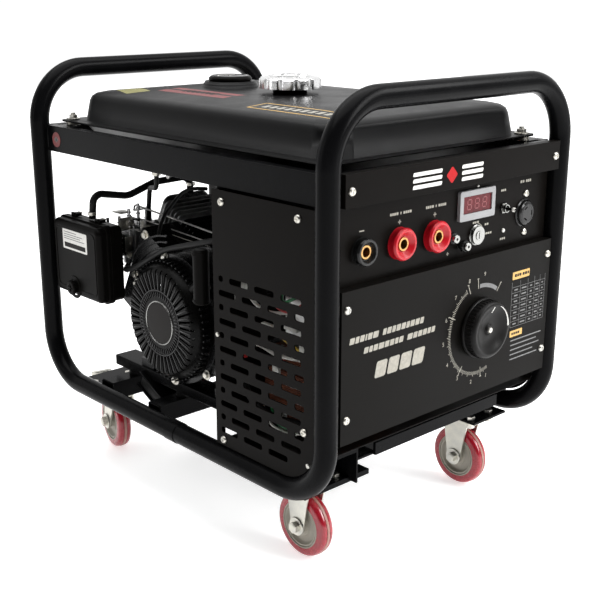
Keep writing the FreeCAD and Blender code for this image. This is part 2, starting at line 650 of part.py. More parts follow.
def make_governor():
    """Governor arm on the crankcase and the long rod that it pulls the throttle with."""
    x, y, z = GOVERNOR_PIVOT
    half_width, foot, boss_r = 6.0, 6.6, 6.4
    arm = box((x - 1.5, x + 1.5), (y - half_width, y + half_width), (z - foot, z + LINK_ARM + half_width))
    arm = soften(arm, X, 5)
    shaft = rod((x, y, z), X, 4.0, 14)
    emit("governor_arm", fuse(arm, rod((x - 2, y, z), X, boss_r, 3.5), shaft))
    far = Vector(THROTTLE_X - LINK_ARM, CARB_Y, LEVER_Z + 2.5 + FACE_GAP)
    near = Vector(x - 3.4, y, z + LINK_ARM)
    emit("governor_rod", pipe([far, Vector(far.x, far.y, LEVER_Z + 11), near], [6.0], 1.6))


OUTLET_START = (180.0, 285.0, 372.0)
OUTLET_BORE_R = 12.0


def make_muffler():
    body = soften_all(box((78.0, 186.0), (178.0, 320.0), (335.0, 470.0)), 18)
    inlet = rod((HEAD_PORT_X[1], CARB_Y, CARB_Z), X, 16.0, 40)
    outlet = rod(OUTLET_START, X, OUTLET_BORE_R + 2, 34)
    seam = soften(box((130.0, 134.0), (174.0, 324.0), (331.0, 474.0)), X, 20)
    bore = rod((OUTLET_START[0] - 10,) + OUTLET_START[1:], X, OUTLET_BORE_R, 60)
    emit("muffler", fuse(body, inlet, outlet, seam).cut(bore))


def make_dipstick():
    direction = Vector(0, -0.8, 0.6)
    mouth = Vector(-60.0, -52.0, 212.0) + direction * (30 + FACE_GAP)
    knob = rod(tuple(mouth), direction, 14.0, 12)
    plug = rod(tuple(mouth - direction * 14), direction, 9.0 - RUN_FIT, 15)
    blade = rod(tuple(mouth - direction * 34), direction, 2.0, 22)
    emit("oil_dipstick", fuse(knob, plug, blade))


def make_hoses():
    cover_y, cover_z = on_cylinder(230.0, 50.0)
    breather = pipe([Vector(-210, 256, AIR_Z[1] + 3.2), Vector(-206, 256, 476), Vector(-140, 252, 464),
                     Vector(-92, 240, 484), Vector(-24, cover_y, 488), Vector(-24, cover_y, cover_z + 6)],
                    [16.0, 30.0, 30.0, 16.0], 6.0, 3.5)
    fuel = pipe([Vector(-150, 150, 531), Vector(-150, 150, 492), Vector(-130, 200, 484),
                 Vector(-128, 212, CARB_Z + 36.5)], [16.0, 16.0], 4.0, 2.0)
    loom = pipe([Vector(-201, -122, 465), Vector(-201, -42, 443), Vector(-201, 59, 414), Vector(-201, 150, 366),
                 Vector(-201, 176, 358), Vector(-180, 200, 358)], [120.0, 160.0, 60.0, 14.0], 4.5)
    emit("hoses", breather, fuel, loom)


# ------------------------------------------------------------------ fuel tank
TANK_FLANGE_Z = (592.0, 595.0)
ROOF_Z = 648.0
TANK_BASE_Z = 556.0
NECK_Y = -10.0
GAUGE_Y = 140.0
TANK_MIDDLE = (2.0, -4.0)   # middle of the pressed tank, off the middle of its flange
TAP = (-150.0, 150.0, 541.0)


def rounded_rectangle(half_x, half_y, radius, z):
    mx, my = TANK_MIDDLE
    base = box((mx - half_x, mx + half_x), (my - half_y, my + half_y), (z - 1, z))
    return soften(base, Z, radius).Faces


def outline_wire(half_x, half_y, radius, z):
    for face in rounded_rectangle(half_x, half_y, radius, z):
        if abs(face.CenterOfMass.z - z) < 1e-6:
            return face.OuterWire


def tank_dome(shrink):
    """Pressed upper half: steep sides and a crowned roof."""
    sections = [(202, 308, 40, TANK_FLANGE_Z[0]), (196, 302, 39, 628), (193, 299, 38, 635),
                (187, 293, 36, 639.5), (176, 282, 32, 642), (140, 246, 26, 645), (100, 206, 20, ROOF_Z)]
    wires = [outline_wire(x - shrink, y - shrink, r - shrink, z - (shrink if z > 637 else 0))
             for x, y, r, z in sections]
    return Part.makeLoft(wires, True, True)


def make_tank():
    lower = Part.makeLoft([outline_wire(178, 284, 36, TANK_BASE_Z),
                           outline_wire(204, 310, 40, TANK_FLANGE_Z[0])], True, True)
    flange = soften(box((-221, 221), (-324, 324), TANK_FLANGE_Z), Z, 10)
    boss = Part.makeCone(52, 42, 16, Vector(0, GAUGE_Y, ROOF_Z - 6), Z)
    neck = rod((0, NECK_Y, ROOF_Z - 4), Z, 27.0, 16)
    tap_x, tap_y, tap_z = TAP
    tap = fuse(rod((tap_x, tap_y, tap_z - 9), Z, 8.0, 26), rod(TAP, X, 7.0, 18))
    tank = fuse(lower, flange, tank_dome(0.0), boss, neck, tap)
    inner_low = Part.makeLoft([outline_wire(176, 282, 34, TANK_BASE_Z + 2),
                               outline_wire(202, 308, 38, TANK_FLANGE_Z[0])], True, True)
    tank = tank.cut(inner_low).cut(tank_dome(2.0)).cut(rod((0, NECK_Y, ROOF_Z - 10), Z, 24.0, 30))
    for sx in (-1, 1):
        for sy in (-1, 1):
            tank = tank.cut(rod((sx * TANK_BOLT[0], sy * TANK_BOLT[1], 590), Z, 4.0, 20))
    tank = tank.cut(rod((tap_x + 10, tap_y, tap_z), X, 3.0 + RUN_FIT, 20))
    emit("fuel_tank", tank)
    handle = box((tap_x + 22, tap_x + 26), (tap_y - 5, tap_y + 5), (tap_z - 36, tap_z + 5))
    spindle = rod((tap_x + 14, tap_y, tap_z), X, 3.0, 12)
    emit("fuel_tap_lever", fuse(soften(handle, X, 4), spindle))


def make_tank_fittings():
    bolts = []
    for sx in (-1, 1):
        for sy in (-1, 1):
            x, y = sx * TANK_BOLT[0], sy * TANK_BOLT[1]
            washer = rod((x, y, RAIL_TOP_Z[1]), Z, 12.0, TANK_FLANGE_Z[0] - RAIL_TOP_Z[1])
            bolt = fuse(rod((x, y, TANK_FLANGE_Z[1]), Z, 11.0, 2),
                        hexagon((x, y, TANK_FLANGE_Z[1] + 2), Z, 13.0, 5.5),
                        rod((x, y, TANK_FLANGE_Z[0]), Z, 4.0 - RUN_FIT, 14))
            bolts += [washer, bolt]
    emit("tank_bolts", *bolts)
    gauge_z = ROOF_Z + 10
    dial = turned([(0, 0), (0, 34), (2, 36), (5, 36), (8, 33), (8, 0)], (0, GAUGE_Y, gauge_z), Z)
    emit("fuel_gauge", dial)


CAP_Z = (656.0, 675.0)
CAP_R = 49.0


def make_fuel_cap():
    skirt = turned([(CAP_Z[0], CAP_R), (CAP_Z[1] - 5, CAP_R), (CAP_Z[1] - 2, CAP_R - 3), (CAP_Z[1], CAP_R - 12),
                    (CAP_Z[1], 0), (CAP_Z[1] - 3, 0), (CAP_Z[1] - 6, CAP_R - 5), (CAP_Z[0], CAP_R - 4)],
                   (0, NECK_Y, 0), Z)
    scallops = []
    for k in range(12):
        angle = math.radians(30 * k)
        reach = CAP_R + 6.5
        scallops.append(rod((reach * math.cos(angle), NECK_Y + reach * math.sin(angle), CAP_Z[0] - 1), Z, 9.0, 30))
    plug = ring((0, NECK_Y, CAP_Z[0] + 2), Z, 24.0 - FACE_GAP, 20.0, 12.4)
    emit("fuel_cap", fuse(skirt.cut(Part.makeCompound(scallops)), plug))


# ------------------------------------------------------------------ control box and panels
def tray(x, y, z, depth_axis, sheet, flange):
    """Folded sheet panel: a face at the low end of depth_axis with a flange all round."""
    outer = {"x": x, "y": y, "z": z}
    solid = box(x, y, z)
    inner = {name: (span[0] + sheet, span[1] - sheet) for name, span in outer.items()}
    low = outer[depth_axis][0]
    inner[depth_axis] = (low + sheet, low + flange + 1)
    return solid.cut(box(inner["x"], inner["y"], inner["z"]))


SIDE_SCREWS = ((-142.0, 525.0), (-138.0, 169.0), (-299.0, 526.0), (-311.0, 236.0))
SLOT_ROWS = 12
SLOT_PITCH = (54.0, 20.9)
SLOT_HALF = (20.0, 4.5)


def side_cover():
    """Flat side plate with its front lower corner rounded to the frame bend, and rows of slots."""
    plate = box((SIDE_COVER_X, SIDE_COVER_X + SHEET), SIDE_COVER_Y, SIDE_COVER_Z)
    corner = [e for e in plate.Edges if abs(e.CenterOfMass.y - SIDE_COVER_Y[0]) < 1e-6
              and abs(e.CenterOfMass.z - SIDE_COVER_Z[0]) < 1e-6]
    plate = plate.makeFillet(66, corner)
    holes = []
    for row in range(SLOT_ROWS):
        z = 415.0 - row * SLOT_PITCH[1]
        first = -150.0 if row % 2 else -123.0
        for k in range(4):
            y = first - k * SLOT_PITCH[0]
            low, high = max(y - SLOT_HALF[0], -311.0), min(y + SLOT_HALF[0], -133.0)
            if high - low > 9 and not (row == SLOT_ROWS - 1 and k == 3):
                slot = box((SIDE_COVER_X - 1, SIDE_COVER_X + 4), (low, high), (z - SLOT_HALF[1], z + SLOT_HALF[1]))
                holes.append(soften(slot, X, 3.5))
    for y, z in SIDE_SCREWS:
        holes.append(rod((SIDE_COVER_X - 1, y, z), X, SCREW_HOLE_R, 5))
    return plate.cut(Part.makeCompound(holes))


def make_covers():
    inner_x = -SIDE_COVER_X - SHEET
    flange = box((-inner_x, -232.0), (SIDE_COVER_Y[1] - SHEET, SIDE_COVER_Y[1]), (170.0, 540.0))
    tray_z = CROSS_TUBE_Z[1] + 0.2
    tray = box((-inner_x, -145.0), (-280.0, SIDE_COVER_Y[1]), (tray_z, tray_z + SHEET))
    left = fuse(side_cover(), flange, tray)
    emit("side_cover_left", left)
    emit("side_cover_right", mirrored(left))
    back_y = (SIDE_COVER_Y[1] - 2 * SHEET, SIDE_COVER_Y[1] - SHEET)
    floor = fuse(box((-226.0, 226.0), (-340.0, back_y[0]), BOX_FLOOR_Z),
                 box((-inner_x, inner_x), (-322.0, back_y[0]), BOX_FLOOR_Z))
    back = box((-inner_x, inner_x), back_y, (BOX_FLOOR_Z[0], 540.0))
    for k in range(6):
        vent_z = 250.0 + 40 * k
        back = back.cut(box((-150.0, 150.0), (back_y[0] - 1, back_y[1] + 1), (vent_z, vent_z + 8)))
    emit("control_box", fuse(floor, back))


SCREW_R, SCREW_HOLE_R = 2.4, 2.5
BROW_SCREWS = ((-216.0, 566.0), (217.0, 566.0))
LOWER_SCREWS = ((-217.0, 412.0), (219.0, 414.0), (-217.0, 260.0), (219.0, 260.0))
OUTLET_SCREWS = ((174.0, 512.0), (174.0, 453.0))
METER_X, METER_Z = (14.0, 93.0), (491.0, 534.0)
SOCKET_XZ = ((-178.0, 481.0), (-106.0, 480.0), (-34.5, 479.0))
SOCKET_R = (19.0, 22.5, 22.5)
SOCKET_HOLE_R = 13.0
TOGGLE_XZ = (120.0, 497.0)
OUTLET_XZ = (171.0, 483.0)
KEY_XZ = (58.0, 466.0)
POST_XZ = ((-4.0, 472.0), (22.0, 457.0))


def drill(panel, face_y, places, radius):
    """Round holes through a panel sheet at (x, z) places."""
    for x, z in places:
        panel = panel.cut(rod((x, face_y - 1, z), Y, radius, SHEET + 2))
    return panel


def make_panels():
    width = (-PANEL_HALF, PANEL_HALF)
    lower_y = (LOWER_PANEL_Y, SOCKET_PANEL_Y + SHEET)
    lower = tray(width, lower_y, LOWER_PANEL_Z, "y", SHEET, lower_y[1] - lower_y[0])
    lower = drill(lower, LOWER_PANEL_Y, ((KNOB_X, KNOB_Z),), KNOB_SHAFT_R + RUN_FIT)
    emit("lower_panel", drill(lower, LOWER_PANEL_Y, LOWER_SCREWS, SCREW_HOLE_R))
    sockets = box(width, (SOCKET_PANEL_Y, SOCKET_PANEL_Y + SHEET), (LOWER_PANEL_Z[1], RAIL_TOP_Z[0]))
    sockets = drill(sockets, SOCKET_PANEL_Y, SOCKET_XZ, SOCKET_HOLE_R)
    sockets = drill(sockets, SOCKET_PANEL_Y, (TOGGLE_XZ,), 6.0)
    sockets = drill(sockets, SOCKET_PANEL_Y, (KEY_XZ,), 8.0)
    emit("socket_panel", drill(sockets, SOCKET_PANEL_Y, OUTLET_SCREWS, SCREW_HOLE_R))
    brow_y = (BROW_Y, -HALF_Y)
    brow = tray(width, brow_y, BROW_Z, "y", 1.5, brow_y[1] - brow_y[0])
    emit("brow_panel", drill(brow, BROW_Y, BROW_SCREWS, SCREW_HOLE_R))


def screw(x, y, z, direction):
    """Pan head machine screw; direction points out of the panel."""
    head = turned([(0, 0), (0, 6.0), (1.6, 5.6), (3.0, 4.0), (3.4, 0)], (x, y, z), direction)
    shank = rod((x, y, z), direction * -1, SCREW_R, 7)
    recess = box((-3.2, 3.2), (-0.6, 0.6), (2.2, 4)).fuse(box((-0.6, 0.6), (-3.2, 3.2), (2.2, 4)))
    recess.Placement = Placement(Vector(x, y, z), Rotation(Z, direction))
    return fuse(head, shank).cut(recess)


def make_screws():
    screws = []
    for face_y, places in ((BROW_Y, BROW_SCREWS), (LOWER_PANEL_Y, LOWER_SCREWS), (SOCKET_PANEL_Y, OUTLET_SCREWS)):
        screws += [screw(x, face_y, z, Y * -1) for x, z in places]
    for y, z in SIDE_SCREWS:
        left = screw(SIDE_COVER_X, y, z, X * -1)
        screws += [left, mirrored(left)]
    emit("panel_screws", *screws)


INSERT_BORE_R = 6.6
INSERT_DEPTH = 24.0
INSERT_FRONT_Y = -352.0


def weld_socket(x, z, outer):
    """Moulded insulator cup with a dished face, and the brass insert inside it."""
    front, panel, mouth = SOCKET_FRONT_Y, SOCKET_PANEL_Y, INSERT_FRONT_Y
    cup = turned([(mouth, 10.0), (mouth, 11.5), (front, outer - 5), (front, outer - 2), (front + 3, outer),
                  (panel - 3, outer - 1), (panel, outer), (panel, 12.8), (panel + 14, 12.8), (panel + 14, 10.0)],
                 (x, 0, z), Y)
    bottom = mouth + INSERT_DEPTH
    insert = turned([(mouth - 2, INSERT_BORE_R), (mouth - 2, 9.2), (mouth, 10.0), (panel + 14, 10.0),
                     (bottom + 3, 9.2), (bottom + 3, 0), (bottom, 0), (bottom, INSERT_BORE_R)], (x, 0, z), Y)
    return cup, insert


def make_sockets():
    cups, inserts = zip(*[weld_socket(x, z, r) for (x, z), r in zip(SOCKET_XZ, SOCKET_R)])
    emit("socket_negative", cups[0])
    emit("sockets_positive", *cups[1:])
    emit("socket_inserts", *inserts)


def make_instruments():
    bezel_y = (SOCKET_PANEL_Y - 6, SOCKET_PANEL_Y)
    bezel = soften(box(METER_X, bezel_y, METER_Z), Y, 3)
    bezel = bezel.cut(box((METER_X[0] + 8, METER_X[1] - 8), (bezel_y[0] - 1, bezel_y[0] + 2),
                          (METER_Z[0] + 10, METER_Z[1] - 8)))
    window = box((METER_X[0] + 8, METER_X[1] - 8), (bezel_y[0] + 0.8, bezel_y[0] + 2),
                 (METER_Z[0] + 10, METER_Z[1] - 8))
    emit("panel_meter", bezel, window)
    x, z = OUTLET_XZ
    outlet = turned([(-8, 0), (-8, 14), (-6, 18), (0, 19), (0, 0)], (x, SOCKET_PANEL_Y, z), Y)
    for k in range(3):
        slot = box((-3.5, 3.5), (-10.0, -2.0), (8.5, 10.5))
        slot.rotate(Vector(), Y, 120 * k + 90)
        slot.translate(Vector(x, SOCKET_PANEL_Y, z))
        outlet = outlet.cut(slot)
    emit("ac_outlet", outlet)


BARREL_R = 6.6


def make_switches():
    """Small panel fittings: binding posts, switch bodies, and the pieces in them that move."""
    post = [(-17, 2.0), (-17, 5.5), (-15, 6.5), (-5, 6.5), (-4, 5), (0, 5), (0, 3), (-12, 3), (-12, 2.0)]
    posts = [turned(post, (x, SOCKET_PANEL_Y, z), Y) for x, z in POST_XZ]
    tx, tz = TOGGLE_XZ
    kx, kz = KEY_XZ
    bush = ring((tx, SOCKET_PANEL_Y - 8, tz), Y, 6.0, 4.6, 8)
    case = box((tx - 7, tx + 7), (SOCKET_PANEL_Y + SHEET, SOCKET_PANEL_Y + 26), (tz - 13, tz + 13))
    case = case.cut(rod((tx, SOCKET_PANEL_Y, tz), Y, 4.6, 12))
    toggle_body = fuse(ring((tx, SOCKET_PANEL_Y, tz), Y, 6.0, 4.6, 3), bush, case)
    collar = ring((kx, SOCKET_PANEL_Y - 6, kz), Y, 13.5, BARREL_R + RUN_FIT, 6)
    lock = ring((kx, SOCKET_PANEL_Y, kz), Y, 8.0, BARREL_R + RUN_FIT, 26)
    emit("panel_fittings", toggle_body, fuse(collar, lock), *posts)
    lever_shape = turned([(-22, 0), (-22, 2.2), (-20, 2.8), (-6, 1.8), (2, 1.8), (3, 0)], (tx, SOCKET_PANEL_Y, tz), Y)
    pivot = rod((tx - 4.2, SOCKET_PANEL_Y + 1, tz), X, 1.5, 8.4)
    emit("toggle_lever", fuse(lever_shape, pivot))
    barrel = rod((kx, SOCKET_PANEL_Y - 7, kz), Y, BARREL_R, 30)
    keyway = box((kx - 0.8, kx + 0.8), (SOCKET_PANEL_Y - 9, SOCKET_PANEL_Y + 2), (kz - 4.5, kz + 4.5))
    emit("key_barrel", barrel.cut(keyway))


def make_dial():
    """Current dial: a dished knob on a shaft through the lower panel."""
    front = KNOB_FRONT_Y
    back = LOWER_PANEL_Y - FACE_GAP - 0.7
    knob = turned([(front + 3, 0), (front + 3, 30), (front, 36), (front, 40), (front + 3, 44), (back - 3, 45),
                   (back, 42), (back, 8), (back - 6, 8), (back - 6, 0)], (KNOB_X, 0, KNOB_Z), Y)
    ridge = box((KNOB_X - 4, KNOB_X + 4), (front + 1, front + 4), (KNOB_Z - 30, KNOB_Z + 30))
    shaft = rod((KNOB_X, back - 8, KNOB_Z), Y, KNOB_SHAFT_R, 40)
    emit("dial_knob", fuse(knob, soften(ridge, Y, 3), shaft))


def make_electrics():
    """Welding reactor and rectifier that sit inside the control box."""
    core = box((-190.0, -60.0), (-300.0, -190.0), (202.0, 320.0)).cut(
        box((-165.0, -85.0), (-310.0, -180.0), (230.0, 292.0)))
    pieces = [core]
    for x in (-177.5, -72.5):
        coil = soften(box((x - 24, x + 24), (-312.0, -178.0), (234.0, 288.0)), X, 14)
        pieces.append(coil.cut(core))
    emit("weld_reactor", *pieces)
    plate = box((-200.0, -60.0), (-230.0, -222.0), (335.0, 440.0))
    fins = [box((-200.0 + 15 * k, -197.0 + 15 * k), (-270.0, -230.0), (335.0, 440.0)) for k in range(10)]
    legs = [box((x, x + 12), (-226.0, -222.0), (320.0, 335.0)) for x in (-190.0, -80.0)]
    emit("rectifier", fuse(plate, *fins, *legs))


def main():
    make_hoops()
    make_top_rails()
    make_base_frame()
    make_base_bolts()
    make_casters()
    make_engine_bed()
    make_crankcase()
    make_cylinder_head()
    make_shroud()
    make_recoil()
    make_starter_grip()
    make_rotating()
    make_alternator()
    make_air_cleaner()
    make_carburettor()
    make_governor()
    make_muffler()
    make_dipstick()
    make_hoses()
    make_tank()
    make_tank_fittings()
    make_fuel_cap()
    make_covers()
    make_panels()
    make_screws()
    make_sockets()
    make_instruments()
    make_switches()
    make_dial()
    make_electrics()


main()
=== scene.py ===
"""Looks of the engine driven welder: finishes, moulded and printed detail, wiring, light.

Lengths are millimetres from the middle of the tube frame (floor at z = 0, control panel
towards -Y, recoil starter towards -X) until a mesh is finished, when it goes to metres.
"""
import json
import math

import bmesh
import bpy
from mathutils import Matrix, Vector


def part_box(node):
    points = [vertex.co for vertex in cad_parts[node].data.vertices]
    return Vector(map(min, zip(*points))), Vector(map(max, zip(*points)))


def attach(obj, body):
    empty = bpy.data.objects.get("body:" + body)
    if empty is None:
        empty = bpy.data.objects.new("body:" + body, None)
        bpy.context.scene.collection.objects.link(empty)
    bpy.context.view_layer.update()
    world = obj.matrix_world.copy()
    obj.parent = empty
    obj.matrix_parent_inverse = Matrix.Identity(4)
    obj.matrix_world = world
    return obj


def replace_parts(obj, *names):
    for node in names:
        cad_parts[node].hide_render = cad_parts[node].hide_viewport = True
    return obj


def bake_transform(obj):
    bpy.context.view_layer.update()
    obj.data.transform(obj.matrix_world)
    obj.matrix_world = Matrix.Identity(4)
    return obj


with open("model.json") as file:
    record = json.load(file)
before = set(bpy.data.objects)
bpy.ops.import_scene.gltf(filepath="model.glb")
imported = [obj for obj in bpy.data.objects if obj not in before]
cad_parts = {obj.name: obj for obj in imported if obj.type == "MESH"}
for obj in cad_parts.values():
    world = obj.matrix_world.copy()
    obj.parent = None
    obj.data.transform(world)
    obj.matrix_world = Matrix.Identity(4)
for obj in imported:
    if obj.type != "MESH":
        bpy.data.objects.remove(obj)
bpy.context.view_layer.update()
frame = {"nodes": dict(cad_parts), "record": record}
NODES = frame["nodes"]
X, Y, Z = Vector((1, 0, 0)), Vector((0, 1, 0)), Vector((0, 0, 1))


def at(x, y, z):
    return Matrix.Translation((x, y, z))


def turn_by(degrees, axis="Z"):
    return Matrix.Rotation(math.radians(degrees), 4, axis)


HOOP_END = 366.7         # middle of the frame to the outside of the rear tube
SHIFT_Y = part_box("frame_hoop_rear")[1].y - HOOP_END / 1000
TO_FRAME = at(0, SHIFT_Y, 0) @ Matrix.Scale(0.001, 4)


# ------------------------------------------------------------------ shading
def node(tree, kind, inputs=None, **settings):
    """New shader node; inputs holds constants or the output sockets to link."""
    made = tree.nodes.new("ShaderNode" + kind)
    for key, value in settings.items():
        setattr(made, key, value)
    for key, value in (inputs or {}).items():
        if isinstance(value, bpy.types.NodeSocket):
            tree.links.new(value, made.inputs[key])
        else:
            made.inputs[key].default_value = value
    return made


def shades(tree, source, stops):
    """Colour ramp over source; stops are (position, colour)."""
    ramp = node(tree, "ValToRGB", {"Fac": source})
    points = ramp.color_ramp.elements
    while len(points) < len(stops):
        points.new(0.5)
    for point, (position, color) in zip(points, stops):
        point.position = position
        point.color = (*color, 1)
    return ramp.outputs["Color"]


def smooth_range(tree, source, given, wanted):
    """Value eased from one range to another."""
    made = node(tree, "MapRange", {"Value": source, "From Min": given[0], "From Max": given[1],
                                   "To Min": wanted[0], "To Max": wanted[1]},
                interpolation_type="SMOOTHSTEP")
    return made.outputs["Result"]


def scaled(color, factor):
    return tuple(min(1.0, c * factor) for c in color)


def finish(name, color, rough, metallic=0.0, shade=0.25, cloud=16.0, grain=900.0, relief=0.12,
           depth=0.0002, stretch=(1, 1, 1), second=None, spec=0.5, **sockets):
    """Surface with cloudy colour, uneven gloss and a fine relief.

    shade is how far the colour swings, cloud and grain are the scales of the coarse and the fine
    noise, spec is the specular level and sockets are the shader's other constants.
    """
    material = bpy.data.materials.new(name)
    material.use_nodes = True
    tree = material.node_tree
    shader = tree.nodes["Principled BSDF"]
    place = node(tree, "TexCoord").outputs["Object"]
    place = node(tree, "Mapping", {"Vector": place, "Scale": stretch}).outputs["Vector"]
    clouds = node(tree, "TexNoise", {"Vector": place, "Scale": cloud, "Detail": 6.0, "Roughness": 0.6})
    fine = node(tree, "TexNoise", {"Vector": place, "Scale": grain, "Detail": 3.0})
    tone = shades(tree, clouds.outputs["Fac"],
                  [(0.3, scaled(color, 1 - shade)), (0.7, second or scaled(color, 1 + shade))])
    speckle = node(tree, "MapRange", {"Value": fine.outputs["Fac"], "From Min": 0.3, "From Max": 0.7,
                                      "To Min": 1 - shade / 2, "To Max": 1 + shade / 2})
    mixed = node(tree, "VectorMath", {0: tone}, operation="SCALE")
    tree.links.new(speckle.outputs["Result"], mixed.inputs["Scale"])
    tree.links.new(mixed.outputs["Vector"], shader.inputs["Base Color"])
    blend = node(tree, "Math", {0: clouds.outputs["Fac"], 1: fine.outputs["Fac"]}, operation="ADD")
    gloss = node(tree, "MapRange", {"Value": blend.outputs["Value"], "From Min": 0.6, "From Max": 1.4,
                                    "To Min": rough * 0.75, "To Max": min(1.0, rough * 1.3)})
    tree.links.new(gloss.outputs["Result"], shader.inputs["Roughness"])
    bump = node(tree, "Bump", {"Height": fine.outputs["Fac"], "Strength": relief, "Distance": depth})
    tree.links.new(bump.outputs["Normal"], shader.inputs["Normal"])
    shader.inputs["Metallic"].default_value = metallic
    shader.inputs["Specular IOR Level"].default_value = spec
    for key, value in sockets.items():
        shader.inputs[key.replace("_", " ")].default_value = value
    return material


def wound(name, color, pitch):
    """Enamelled wire laid side by side; pitch is the wire's width in metres."""
    material = finish(name, color, 0.35, metallic=0.6, shade=0.3)
    tree = material.node_tree
    place = node(tree, "TexCoord").outputs["Object"]
    turns = node(tree, "TexWave", {"Vector": place, "Scale": 0.314 / pitch, "Distortion": 0.4},
                 bands_direction="Z")
    bump = node(tree, "Bump", {"Height": turns.outputs["Fac"], "Strength": 0.9, "Distance": 0.001})
    tree.links.new(bump.outputs["Normal"], tree.nodes["Principled BSDF"].inputs["Normal"])
    return material


FINISHES = {
    "frame_black": finish("satin_powder_coat", (0.0027, 0.0027, 0.003), 0.25, shade=0.2, grain=1300,
                          relief=0.08, spec=0.04),
    "panel_black": finish("panel_powder_coat", (0.0038, 0.0032, 0.0028), 0.36, shade=0.15, grain=1700,
                          relief=0.14, spec=0.03),
    "tank_black": finish("tank_paint", (0.0030, 0.0030, 0.0032), 0.36, shade=0.2, grain=1100, relief=0.08,
                         spec=0.09),
    "muffler_black": finish("heat_paint", (0.011, 0.010, 0.0095), 0.7, shade=0.4, cloud=30, relief=0.4,
                            spec=0.25),
    "engine_black": finish("engine_enamel", (0.004, 0.004, 0.0043), 0.26, grain=700, relief=0.15, spec=0.2),
    "black_plastic": finish("moulded_plastic", (0.0034, 0.0031, 0.0028), 0.34, shade=0.15, grain=1500,
                            relief=0.22, spec=0.03),
    "knob_black": finish("knob_plastic", (0.0065, 0.0062, 0.006), 0.38, shade=0.15, grain=1600, relief=0.16,
                         spec=0.1),
    "rubber_black": finish("rubber", (0.006, 0.006, 0.006), 0.5, shade=0.3, grain=600, relief=0.3, spec=0.16),
    "zinc_bolts": finish("zinc_plate", (0.44, 0.44, 0.42), 0.32, 1.0, shade=0.15, cloud=60,
                         second=(0.60, 0.57, 0.50)),
    "zinc_caster": finish("caster_zinc", (0.50, 0.50, 0.47), 0.42, 1.0, shade=0.12, cloud=25, grain=700,
                          relief=0.25, second=(0.66, 0.64, 0.56)),
    "caster_wheel": finish("hub_nylon", (0.32, 0.295, 0.245), 0.42, shade=0.12, relief=0.2),
    "cast_alloy": finish("cast_aluminium", (0.36, 0.36, 0.36), 0.45, 0.9, cloud=40, grain=500, relief=0.5,
                         depth=0.0004),
    "alloy_fins": finish("extruded_aluminium", (0.62, 0.62, 0.61), 0.3, 1.0, shade=0.1, grain=500, relief=0.2,
                         stretch=(1, 1, 8)),
    "steel": finish("bright_steel", (0.42, 0.41, 0.40), 0.3, 1.0, shade=0.2, grain=600, relief=0.2,
                    stretch=(0.2, 1, 1)),
    "cap_chrome": finish("cap_chrome", (0.78, 0.78, 0.78), 0.14, 1.0, shade=0.06, cloud=30, grain=400,
                         relief=0.05),
    "switch_chrome": finish("switch_chrome", (0.27, 0.27, 0.26), 0.26, 1.0, shade=0.1, relief=0.08),
    "brass": finish("brass", (0.45, 0.26, 0.10), 0.34, 1.0, cloud=90, relief=0.15),
    "red_plastic": finish("socket_red", (0.38, 0.005, 0.012), 0.32, shade=0.1, relief=0.1, spec=0.3,
                          Coat_Weight=0.1, Coat_Roughness=0.2),
    "meter_grey": finish("bezel_grey", (0.22, 0.22, 0.225), 0.42, shade=0.1, grain=1500, relief=0.2),
    "copper_coil": wound("coil_wire", (0.15, 0.045, 0.02), 0.003),
}
TYRE = finish("urethane_red", (0.31, 0.006, 0.017), 0.26, shade=0.18, cloud=45, relief=0.08,
              Subsurface_Weight=0.15, Subsurface_Scale=0.003, Coat_Weight=0.25, Coat_Roughness=0.15)
SEAM = finish("urethane_seam", (0.34, 0.17, 0.14), 0.45, shade=0.2, cloud=60)
GLOSSY = finish("gloss_black", (0.010, 0.010, 0.010), 0.14, shade=0.2, grain=700, relief=0.04, spec=0.2)
WINDOW = finish("meter_window", (0.075, 0.007, 0.010), 0.16, shade=0.3, cloud=120, relief=0.02, spec=0.12)
SEGMENT = finish("meter_segment", (0.15, 0.014, 0.018), 0.3, shade=0.1)


def ink(name, color, shade, cloud=200, rough=0.5, spec=0.5):
    return finish("ink_" + name, color, rough, shade=shade, cloud=cloud, grain=2500, spec=spec)


INK_WHITE = ink("white", (0.62, 0.61, 0.58), 0.1)
INK_CREAM = ink("cream", (0.27, 0.255, 0.215), 0.2, 260)
INK_GREY = ink("grey", (0.12, 0.12, 0.12), 0.3, 300)
INK_RED = ink("red", (0.34, 0.004, 0.006), 0.1, rough=0.45, spec=0.15)
INK_FADED = ink("faded_red", (0.13, 0.018, 0.018), 0.4, 180)
INK_YELLOW = ink("yellow", (0.46, 0.28, 0.07), 0.15)
INK_OLIVE = ink("olive", (0.16, 0.15, 0.04), 0.3)
BADGE = finish("badge_grey", (0.011, 0.0096, 0.0090), 0.45, shade=0.2, cloud=60, grain=1500, spec=0.07)
# lighter copy of the panel coat for the lower panel: painted light, the brightness the floor's reflection gives
# that panel
LOWER_PLATE_LIT = finish("lower_panel_lit_coat", (0.0040, 0.0036, 0.0031), 0.42, shade=0.12, cloud=7, grain=1700,
                     relief=0.14, spec=0.04)
RECOIL_ENAMEL = finish("recoil_enamel", (0.0024, 0.0023, 0.0022), 0.3, shade=0.2, relief=0.1, spec=0.06)
WHITE_PLASTIC = finish("white_nylon", (0.62, 0.61, 0.57), 0.45, shade=0.12, cloud=60)
ROPE_WEAVE = finish("starter_rope_weave", (0.30, 0.29, 0.27), 0.8, shade=0.3, cloud=120, grain=1500,
                    relief=0.5)
WIRE_COLORS = {name: finish("wire_" + name, color, 0.4, shade=shade, cloud=40) for name, color, shade in (
    ("white", (0.62, 0.60, 0.56), 0.12), ("green", (0.02, 0.22, 0.07), 0.2),
    ("red", (0.45, 0.02, 0.02), 0.2), ("yellow", (0.55, 0.36, 0.03), 0.2))}
WIRE_COLORS["black"] = FINISHES["rubber_black"]


